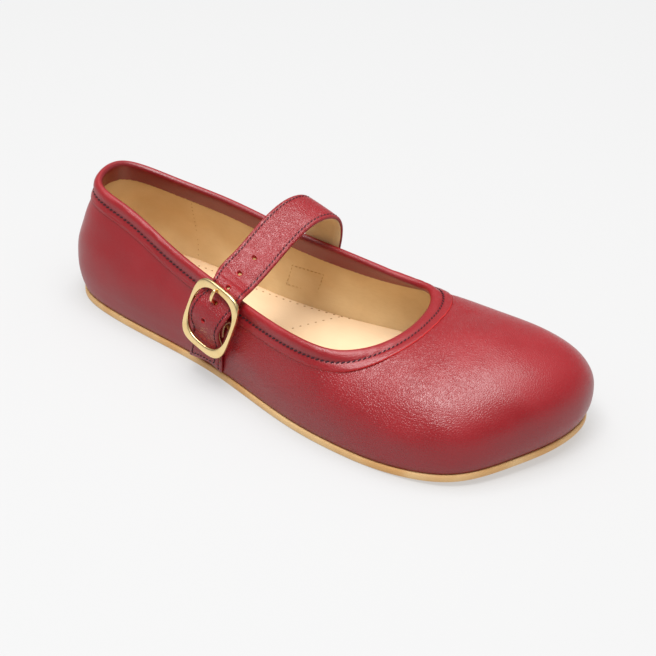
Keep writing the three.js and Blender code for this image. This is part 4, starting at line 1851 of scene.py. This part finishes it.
@dataclass
class Strap(Part):
    """The leather strap with its lining, punched holes and stitching.

    Each place of a section is [millimetres across, millimetres outward], and each bend is
    [how far along from bend_at, depth, width, slant].
    """

    path: StrapPath
    steps: int = 420
    tail_cut: float = 4.5
    tail_reach: float = 22
    tail_corner: float = 0.5
    end_round: float = 0.6
    end_flat: float = 0.9
    stitch_in: float = 1.75
    stitch_ends: Pair = (3.0, 2.6)
    stitch_stand: float = 0.02
    side_samples: int = 700
    end_samples: int = 60
    groove_at: float = 6.95
    groove_width: float = 0.45
    # share of painted shade in the stitch groove along each edge
    groove_painted_shade: float = 0.3
    hole_radius: float = 1.05
    hole_sides: int = 28
    hole_at: float = 7.2
    hole_pitch: float = 9.7
    holes_above: int = 3
    punch_length: float = 8
    bend_at: float = 21
    bends: tuple[tuple[float, float, float, float], ...] = (
        (-3, 0.3, 1.1, 0.08), (1.2, 0.36, 1.0, -0.05), (4.6, 0.3, 1.1, 0.1), (9.5, 0.28, 1.2, 0.03))
    face: tuple[Pair, ...] = (
        (0.0, 1.15), (3.0, 1.14), (5.5, 1.06), (6.4, 0.96), (6.95, 0.82), (7.45, 0.92),
        (7.9, 0.9), (8.3, 0.72), (8.6, 0.4), (8.7, 0.0), (8.62, -0.4))
    under: tuple[Pair, ...] = (
        (8.3, -0.62), (4.0, -0.66), (0.0, -0.66), (-4.0, -0.66), (-8.3, -0.62))
    lining_section: tuple[Pair, ...] = (
        (8.15, -0.6), (8.3, -0.9), (8.15, -1.2), (4, -1.25), (0, -1.25), (-4, -1.25),
        (-8.15, -1.2), (-8.3, -0.9), (-8.15, -0.6), (-4, -0.58), (0, -0.58), (4, -0.58))
    rim_section: tuple[Pair, ...] = (
        (0.02, 0.98), (0.2, 1.12), (0.42, 1.1), (0.2, -0.6), (-0.08, -0.6), (-0.1, 0.7))

    def holes(self) -> list[float]:
        """Returns how far along the strap each hole is."""
        first = self.path.reach(self.hole_at)
        return [first - self.hole_pitch * i for i in range(-1, self.holes_above + 1)]

    def _tail(self, s: Array, w: Array) -> Array:
        """Cuts the free end obliquely.

        Args:
            s: Millimetres along the strap.
            w: To the front.

        Returns:
            The new s, longer at the rear, with soft corners.
        """
        end = self.path.end
        share = np.clip((s - (end - self.tail_reach)) / self.tail_reach, 0, 1)
        t = w / (self.path.width / 2)
        short = self.tail_cut * (1 + t) / 2 + self.tail_corner * np.abs(t) ** 7
        return s - share ** 1.5 * short

    def _folds(self, s: Array, w: Array) -> Array:
        """Finds how far bends in the leather push its face.

        Args:
            s: Millimetres along the strap.
            w: To the front.

        Returns:
            Millimetres outward.
        """
        bend = self.path.reach(self.bend_at)
        total = np.zeros(np.broadcast(s, w).shape)
        for offset, depth, width, skew in self.bends:
            total -= depth * np.exp(-((s - bend - offset - skew * w) / width) ** 2)
        return total * (0.35 + 0.65 * np.cos(np.clip(w / 8.1, -1, 1) * 1.2))

    def build(self) -> Piece:
        """Makes the strap's leather.

        Returns:
            The strap, standing for its CAD node.
        """
        end, smooth = self.path.end, catmull(np.array(self.face), 2)
        w, h = np.concatenate([smooth[:0:-1] * [-1, 1], smooth, np.array(self.under)]).T
        cap = self.end_round * (1 - np.cos(np.linspace(0, np.pi / 2, 5)[:-1]))
        flat = np.linspace(self.end_flat, end - self.end_flat, self.steps)
        s = np.concatenate([cap, flat, end - cap[::-1]])[:, None]
        near = np.minimum(s, end - s)
        thin = 0.15 + 0.85 * np.sqrt(smoothstep(near, -0.25, 0.9))
        folds = self._folds(s, w[None, :])
        s2 = self._tail(s, w[None, :])
        stand = h[None, :] * thin + folds * (h[None, :] > 0)
        points = self.path.place(s2, w[None, :], stand)
        rows = len(w)
        quads = grid(len(s), rows, round_columns=True)
        ends = end_caps(len(s), rows)
        piece = build_mesh("strap_leather", points, np.concatenate([quads, ends]),
                           self.last.centre, (self.finishes.leather, self.finishes.raw_red))
        # painted shade in the stitch groove along each edge
        groove = np.exp(-((np.abs(w) - self.groove_at) / self.groove_width) ** 2) * (h > 0)
        add_values(piece, "painted_shade", np.tile(self.groove_painted_shade * groove, len(s)))
        add_values(piece, "grain", np.full(len(s) * rows, 1.0))
        self._punch(piece, self.holes())
        settle(piece, "strap")
        return piece

    def _punch(self, piece: Piece, holes: list[float]) -> None:
        """Cuts holes through a piece.

        Args:
            piece: The piece.
            holes: How far along each hole is.
        """
        work = bmesh.new()
        for s in holes:
            middle, across, outward = self.path.frame(np.array(s))
            along = np.cross(outward, across)
            turn = Matrix(np.column_stack([across, along, outward]).tolist()).to_4x4()
            turn.translation = Vector((middle - self.last.centre) * MM)
            radius = self.hole_radius * MM
            bmesh.ops.create_cone(work, cap_ends=True, segments=self.hole_sides, radius1=radius,
                                  radius2=radius, depth=self.punch_length * MM, matrix=turn)
        mesh = bpy.data.meshes.new("punch")
        work.to_mesh(mesh)
        work.free()
        punch = place_object("punch", mesh)
        cut = piece.modifiers.new("punch", "BOOLEAN")
        cut.operation, cut.solver, cut.object = "DIFFERENCE", "EXACT", punch
        work_in(piece)
        bpy.data.objects.remove(punch)

    def lining(self) -> Piece:
        """Makes the beige sheet under the strap.

        Returns:
            The lining.
        """
        w, h = np.array(self.lining_section).T
        s = np.linspace(0.5, self.path.end - 0.5, self.steps)[:, None]
        points = self.path.place(self._tail(s, w[None, :]), w[None, :], h[None, :])
        rows = len(w)
        quads = np.concatenate([grid(len(s), rows, round_columns=True), end_caps(len(s), rows)])
        piece = build_mesh("strap_lining", points, quads, self.last.centre,
                           (self.finishes.lining,))
        self._punch(piece, self.holes()[-2:])
        settle(piece, None)
        return piece

    def rims(self) -> Piece:
        """Lines each hole with its raw red edge.

        Returns:
            The rims.
        """
        turn = np.arange(self.hole_sides) * 2 * np.pi / self.hole_sides
        ring = np.array(self.rim_section) + [self.hole_radius, 0]
        points, quads = [], []
        for k, s in enumerate(self.holes()):
            middle, across, outward = self.path.frame(np.array(s))
            along = np.cross(outward, across)
            height = ring[:, 1] + self._folds(np.array([s]), np.array([0.0]))[0]
            round_hole = across * np.cos(turn)[:, None] + along * np.sin(turn)[:, None]
            place = (middle + round_hole[:, None] * ring[None, :, :1]
                     + outward * height[None, :, None])
            points.append(place.reshape(-1, 3))
            quads.append(grid(len(turn), len(ring), True, True) + k * len(turn) * len(ring))
        piece = build_mesh("hole_rims", np.concatenate(points), np.concatenate(quads),
                           self.last.centre, (self.finishes.raw_red,))
        settle(piece)
        return piece

    def stitches(self) -> Piece:
        """Lays the stitching along both edges and round the tail.

        Returns:
            The stitches.
        """
        inset = self.path.width / 2 - self.stitch_in
        end = self.path.end - self.stitch_ends[1]
        s = np.linspace(self.stitch_ends[0], end, self.side_samples)
        across = np.linspace(-inset, inset, self.end_samples)[1:-1]
        run = np.concatenate([s, np.full(len(across), end), s[::-1]])
        side = np.concatenate([np.full(len(s), -inset), across, np.full(len(s), inset)])
        face_w, face_h = np.array(self.face[:9]).T
        run = self._tail(run, side)
        stand = np.interp(np.abs(side), face_w, face_h) + self.stitch_stand
        path, ups = self.path.place(run, side, stand), self.path.frame(run)[2]
        piece = self.sewing.row("strap_stitches", path, ups, STRAP_ROW,
                                self.finishes.dark_thread, closed=True)
        settle(piece)
        return piece


@dataclass
class Buckle(Part):
    """The gold frame with its centre bar, the prong, and the stay that holds the bar."""

    place: BucklePlace
    plane: FramePlane = field(default_factory=FramePlane)
    width: float = 27.3
    height: float = 32.0
    side_bar: float = 1.8
    end_bar: float = 3.2
    thickness: float = 2.0
    outer_power: float = 3.9
    inner_power: float = 2.7
    section_power: float = 0.55
    ring_sides: int = 200
    section_sides: int = 20
    rod_radius: float = 0.9
    rod_stand: float = 2.8
    prong_radius: float = 0.85
    prong_taper: Pair = (1.15, 0.2)
    loop_sides: int = 29
    loop_start: float = math.radians(70)
    loop_gap: float = 0.75
    loop_section: tuple[Pair, ...] = (
        (-1.15, -0.4), (1.15, -0.4), (1.25, 0.1), (1.0, 0.5), (-1.0, 0.5), (-1.25, 0.1))
    pin_start: tuple[Triple, ...] = ((0, 1.8, 3.0), (0, 3.2, 3.1))
    pin_rest: tuple[Triple, ...] = (
        (-0.6, 5.3, -4.1), (-1.4, 6.9, -2.2), (-1.75, 8.5, 0.2), (-1.7, 10.3, 1.2),
        (-1.7, 12.4, 1.15), (-1.7, 14.4, 0.75))
    stay_width: float = 14.0
    stay_flare: float = 0.22
    stay_thickness: float = 1.3
    stay_foot: float = -25.6
    stay_turn: float = -1.5
    stay_gap: float = 0.3
    stay_lead: tuple[Pair, ...] = ((-2, 4.35), (-3.8, 3.65), (-5.4, 2.95))
    stay_stitch_in: float = 2.0

    @staticmethod
    def _round(radius: float, sides: int = 12) -> Array:
        """Returns a round section."""
        turn = 2 * np.pi * np.arange(sides) / sides
        return radius * np.column_stack([np.cos(turn), np.sin(turn)])

    def frame_piece(self) -> Piece:
        """Makes the frame and its centre bar.

        Returns:
            The frame, standing for its CAD node.
        """
        turn = 2 * np.pi * np.arange(self.ring_sides) / self.ring_sides
        section = 2 * np.pi * np.arange(self.section_sides) / self.section_sides
        ring_w = np.sign(np.cos(section)) * np.abs(np.cos(section)) ** self.section_power
        ring_h = np.sign(np.sin(section)) * np.abs(np.sin(section)) ** self.section_power

        def loop(width: float, height: float, power: float) -> tuple[Array, Array]:
            """Draws a squared ring in the frame's plane.

            Args:
                width: Its width.
                height: Its height.
                power: How square it is; 2 is round.

            Returns:
                Places a and b.
            """
            cos, sin = np.cos(turn)[:, None], np.sin(turn)[:, None]
            return (width / 2 * np.sign(cos) * np.abs(cos) ** (2 / power),
                    height / 2 * np.sign(sin) * np.abs(sin) ** (2 / power))

        out_a, out_b = loop(self.width, self.height, self.outer_power)
        in_a, in_b = loop(self.width - 2 * self.side_bar, self.height - 2 * self.end_bar,
                          self.inner_power)
        share = (1 + ring_w[None, :]) / 2
        h = (ring_h - 1)[None, :] * self.thickness / 2
        outer = self.plane.at(in_a + (out_a - in_a) * share, in_b + (out_b - in_b) * share, h)
        outer = outer.reshape(-1, 3)
        quads = grid(len(turn), len(section), True, True)
        end = (self.width - self.side_bar) / 2
        along = np.array([2.2 - end, 3.4 - end, -end / 2, 0, end / 2, end - 3.4, end - 2.2])
        inside = self.place.at(along, 0, self.rod_stand)
        sides = self.plane.at(np.array([-end, -end, end, end]), 0,
                              np.array([-1.0, -3.6, -2.2, -1.0]))
        run = catmull(np.concatenate([sides[:2], inside, sides[2:]]), 8)
        rod, rod_quads = self._sweep(run, self._round(self.rod_radius))
        piece = build_mesh("buckle_gold_frame", np.concatenate([outer, rod]),
                           np.concatenate([quads, rod_quads + len(outer)]),
                           self.last.centre, (self.finishes.gold,))
        settle(piece, "buckle_frame")
        return piece

    def _sweep(self, path: Array, section: Array,
               scale: Array | None = None) -> tuple[Array, Array]:
        """Sweeps a section along a path with as little twist as possible.

        Args:
            path: The path.
            section: The section, round its middle.
            scale: The section's size along the path.

        Returns:
            Points and quads.
        """
        tangent = unit(np.gradient(path, axis=0))
        side = np.empty_like(path)
        now = np.cross(tangent[0], [0.3, 0.9, 0.4])
        for i, direction in enumerate(tangent):
            now = unit(now - direction * (now @ direction))
            side[i] = now
        lift = np.cross(tangent, side)
        size = np.ones(len(path)) if scale is None else scale
        grown = section[None] * size[:, None, None]
        ring = path[:, None] + side[:, None] * grown[..., :1] + lift[:, None] * grown[..., 1:]
        quads = np.concatenate([grid(len(path), len(section), False, True),
                                end_caps(len(path), len(section))])
        return ring.reshape(-1, 3), quads

    def prong(self) -> Piece:
        """Makes the prong: a loop round the centre bar and a pin up to the frame.

        Returns:
            The prong, standing for its CAD node.
        """
        sides, start = self.loop_sides, self.loop_start
        turn = np.linspace(start, start + 2 * math.pi, sides + 1)[:-1]
        radius = self.rod_radius + self.loop_gap
        loop = np.column_stack([np.zeros(sides), radius * np.cos(turn),
                                self.rod_stand + radius * np.sin(turn)])
        path = self.place.at(*loop.T)
        front = self.place.at(1.0, 0, self.rod_stand)
        across = unit(front - self.place.at(-1.0, 0, self.rod_stand))
        away = unit(path - self.place.at(0.0, 0, self.rod_stand))
        bar = np.array(self.loop_section)
        ring = path[:, None] + across * bar[None, :, :1] + away[:, None] * bar[None, :, 1:]
        quads = grid(sides, len(bar), True, True)
        run = catmull(np.concatenate([self.place.at(*np.array(self.pin_start).T),
                                      self.plane.at(*np.array(self.pin_rest).T)]), 6)
        t = np.linspace(0, 1, len(run))
        thick, taper = self.prong_taper
        tip = np.sqrt(np.maximum(1 - smoothstep(t, 0.94, 1.0) * 0.97, 0.03))
        pin, pin_quads = self._sweep(run, self._round(self.prong_radius), (thick - taper * t) * tip)
        piece = build_mesh("buckle_gold_prong", np.concatenate([ring.reshape(-1, 3), pin]),
                           np.concatenate([quads, pin_quads + ring.size // 3]),
                           self.last.centre, (self.finishes.gold,))
        settle(piece, "buckle_prong")
        return piece

    def stay(self) -> list[Piece]:
        """Makes the stay that wraps the centre bar, and its stitching.

        Returns:
            The stay, standing for its CAD node, and its stitching.
        """
        wrap = self.rod_radius + self.stay_gap + self.stay_thickness / 2
        low = self.rod_stand - wrap
        flat = np.column_stack([np.linspace(self.stay_foot, self.stay_turn, 16), np.full(16, low)])
        bend = np.linspace(-math.pi / 2, math.pi / 2, 12)
        turn = np.column_stack([wrap * np.cos(bend), self.rod_stand + wrap * np.sin(bend)])
        lead = catmull(np.array([(-0.4, self.rod_stand + wrap), *self.stay_lead]), 4)
        run = np.concatenate([flat, turn[1:], lead[1:]])
        tangent = unit(np.gradient(run, axis=0))
        out = np.column_stack([tangent[:, 1], -tangent[:, 0]])
        half, t = self.stay_width / 2, self.stay_thickness / 2
        low_side = [(-half, -t * 0.6), (-half + 0.5, -t), (0, -t), (half - 0.5, -t),
                    (half, -t * 0.6)]
        section = np.array(low_side + [(a, -b) for a, b in reversed(low_side)])
        flare = 1 + self.stay_flare * (1 - smoothstep(np.arange(len(run)) / len(flat), 0.1, 0.75))
        w = section[None, :, 0] * flare[:, None]
        bh = run[:, None] - out[:, None] * section[None, :, 1:]
        points = self.place.at(w, bh[..., 0], bh[..., 1])
        rows = len(section)
        ends = end_caps(len(run), rows)
        quads = np.concatenate([grid(len(run), rows, round_columns=True), ends])
        column = np.concatenate([np.tile(np.arange(rows), len(run) - 1), np.full(len(ends), 4)])
        along = np.arange(len(column)) // rows
        edge = ((column == 4) | (column == rows - 1)) & (along > len(flat) - 4)
        piece = build_mesh("buckle_stay_leather", points, quads, self.last.centre,
                           (self.finishes.leather, self.finishes.raw_cream), edge)
        add_values(piece, "grain", np.full(points.size // 3, 0.5))
        add_values(piece, "painted_shade", np.zeros(points.size // 3))
        settle(piece, "buckle_stay")
        b = np.linspace(self.stay_foot + 1.5, -9.5, 60)
        rows_made = []
        for side in (-1, 1):
            wide = half * (1 + self.stay_flare * (1 - smoothstep(b, -24, -7)))
            a = side * (wide - self.stay_stitch_in)
            line = self.place.at(a, b, np.full(b.shape, low + t))
            ups = unit(self.place.at(a, b, np.full(b.shape, low + t + 0.5)) - line)
            rows_made.append(self.sewing.row(f"stay_{side}", line, ups, STRAP_ROW,
                                             self.finishes.dark_thread))
        stitched = self.sewing.join("stay_stitches", rows_made)
        settle(stitched)
        return [piece, stitched]


# ---------------- inside stitching

@dataclass
class InsideRows(Part):
    """Pinholes in the insole, and the seams of the lining.

    seam and box hold [x, z] on the lining; the other rows hold [x, y] on the insole.
    """

    insole: Insole
    seam: tuple[Pair, ...] = ((37.5, 44), (35.5, 34), (34.6, 23.6), (35.2, 15), (36.2, 8))
    box: tuple[Pair, ...] = ((91.9, 23.7), (109, 25), (105.8, 14.1), (89, 12.4))
    edge_row: tuple[Pair, ...] = ((30, 21.5), (50, 23.4), (79, 23.6), (104, 26.0), (124, 30.2))
    cross_row: tuple[Pair, ...] = ((121.5, 31.6), (114, 18), (107.3, 4.2))
    seam_sunk: float = 0.02
    box_sunk: float = 0.05

    def build(self) -> list[Piece]:
        """Lays every inside row.

        Returns:
            The pinholes and the box of stitches.
        """
        last, holes = self.last, []
        for name, line in (("edge", self.edge_row), ("cross", self.cross_row)):
            run = catmull(np.array(line), 40)
            path = np.column_stack([run, self.insole.top(run[:, 0], run[:, 1])])
            ups = np.tile([0.0, 0, 1], (len(run), 1))
            holes.append(self.sewing.row(name, path, ups, INSOLE_ROW, self.finishes.pinhole))
        x, z = catmull(np.array(self.seam), 20).T
        path, out = last.on_side(x, z, -last.wall - self.seam_sunk, last.turn("rear waist, inner"))
        holes.append(self.sewing.row("seam", path, -out, LINING_ROW, self.finishes.pinhole))
        punched = self.sewing.join("pinholes", holes)
        settle(punched)
        corners = np.array(self.box + self.box[:1])
        x, z = np.concatenate([np.linspace(p, q, 30, endpoint=False)
                               for p, q in zip(corners, corners[1:])]).T
        path, out = last.on_side(x, z, -last.wall - self.box_sunk, last.turn("arch"))
        box = self.sewing.row("box_stitch", path, -out, FINE_ROW, self.finishes.beige_thread,
                              closed=True)
        settle(box)
        return [punched, box]


# ---------------- studio

@dataclass(frozen=True)
class Lamp:
    """A soft rectangular light aimed at the shoe: metres and watts."""

    name: str
    place: Triple
    size: Pair
    power: float


@dataclass
class Studio:
    """A pale floor, large soft lights, and the camera.

    Each stop of the sky is [height, strength].
    """

    target: Triple = (0.00721, 0.002274, 0.020)
    azimuth: float = math.radians(36.4)
    elevation: float = math.radians(33.0)
    roll: float = math.radians(1.2)
    distance: float = 1.0
    focal: float = 124.1
    sensor: float = 36.0
    clip: Pair = (0.01, 50.0)
    sky: tuple[Pair, ...] = ((0.0, 0.6), (0.13, 0.52), (0.3, 0.12), (0.85, 0.9))
    floor_reach: float = 6.0
    floor_roughness: float = 0.6
    grey: float = 0.25
    glow: float = 0.48
    lamps: tuple[Lamp, ...] = (Lamp("softbox", (-0.05, 0.05, 1.6), (1.3, 1.1), 24.0),
                               Lamp("key", (0.1, -0.5, 1.4), (0.55, 0.45), 9.0))

    def build(self) -> None:
        """Makes the whole studio."""
        self._camera()
        self._floor()
        self._lights()
        bpy.context.scene.view_settings.view_transform = "Standard"

    def _camera(self) -> None:
        """Points the camera at the shoe."""
        a, e = self.azimuth, self.elevation
        back = Vector((math.sin(a) * math.cos(e), -math.cos(a) * math.cos(e), math.sin(e)))
        level = Vector((math.cos(a), math.sin(a), 0))
        rise = back.cross(level)
        right = level * math.cos(self.roll) + rise * math.sin(self.roll)
        up = rise * math.cos(self.roll) - level * math.sin(self.roll)
        turn = Matrix((right, up, back)).transposed().to_4x4()
        turn.translation = Vector(self.target) + back * self.distance
        lens = bpy.data.cameras.new("camera")
        lens.lens, lens.sensor_width = self.focal, self.sensor
        lens.clip_start, lens.clip_end = self.clip
        camera = place_object("camera", lens)
        camera.matrix_world = turn
        bpy.context.scene.camera = camera

    def _floor(self) -> None:
        """Lays the floor."""
        mesh, far = bpy.data.meshes.new("floor"), self.floor_reach
        corners = [(x * far, y * far, 0) for x, y in ((-1, -1), (1, -1), (1, 1), (-1, 1))]
        mesh.from_pydata(corners, [], [(0, 1, 2, 3)])
        mesh.materials.append(Shader("pale_floor").finish(
            (self.grey, self.grey, self.grey, 1), self.floor_roughness,
            specular_ior_level=0.0, emission_strength=self.glow))
        place_object("floor", mesh)

    def _lights(self) -> None:
        """Hangs the lamps and sets the even surrounding light."""
        world = bpy.data.worlds.new("studio")
        world.use_nodes = True
        tree = world.node_tree
        way = tree.nodes.new("ShaderNodeTexCoord")
        height = tree.nodes.new("ShaderNodeSeparateXYZ")
        sky = tree.nodes.new("ShaderNodeValToRGB")
        stops = sky.color_ramp.elements
        while len(stops) < len(self.sky):
            stops.new(0.5)
        for stop, (z, strength) in zip(stops, self.sky):
            stop.position, stop.color = z, (strength, strength, strength, 1)
        tree.links.new(way.outputs["Generated"], height.inputs[0])
        tree.links.new(height.outputs["Z"], sky.inputs[0])
        tree.links.new(sky.outputs[0], tree.nodes["Background"].inputs["Strength"])
        tree.nodes["Background"].inputs["Color"].default_value = (1, 1, 1, 1)
        bpy.context.scene.world = world
        for lamp in self.lamps:
            light = bpy.data.lights.new(lamp.name, "AREA")
            light.shape, light.energy = "RECTANGLE", lamp.power
            light.size, light.size_y = lamp.size
            box = place_object(lamp.name, light)
            box.location = lamp.place
            aim = Vector(self.target) - Vector(lamp.place)
            box.rotation_euler = aim.to_track_quat("-Z", "Y").to_euler()


# ---------------- making it all


def main() -> None:
    """Builds the shoe piece by piece, then the studio."""
    logging.basicConfig(level=logging.INFO, format="%(name)s: %(message)s")
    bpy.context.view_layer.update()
    last = Last()
    kit = (last, Finishes(), Sewing(last.centre))
    Upper(*kit).build()
    collar = Collar(*kit)
    collar.build()
    collar.stitches()
    sole = Outsole(*kit)
    sole.build()
    sole.ribs()
    insole = Insole(*kit)
    insole.build()
    strap = Strap(*kit, StrapPath(last))
    strap.build()
    strap.lining()
    strap.rims()
    strap.stitches()
    buckle = Buckle(*kit, BucklePlace(last))
    buckle.frame_piece()
    buckle.prong()
    buckle.stay()
    InsideRows(*kit, insole).build()
    Studio().build()


if __name__ == "__main__":
    main()
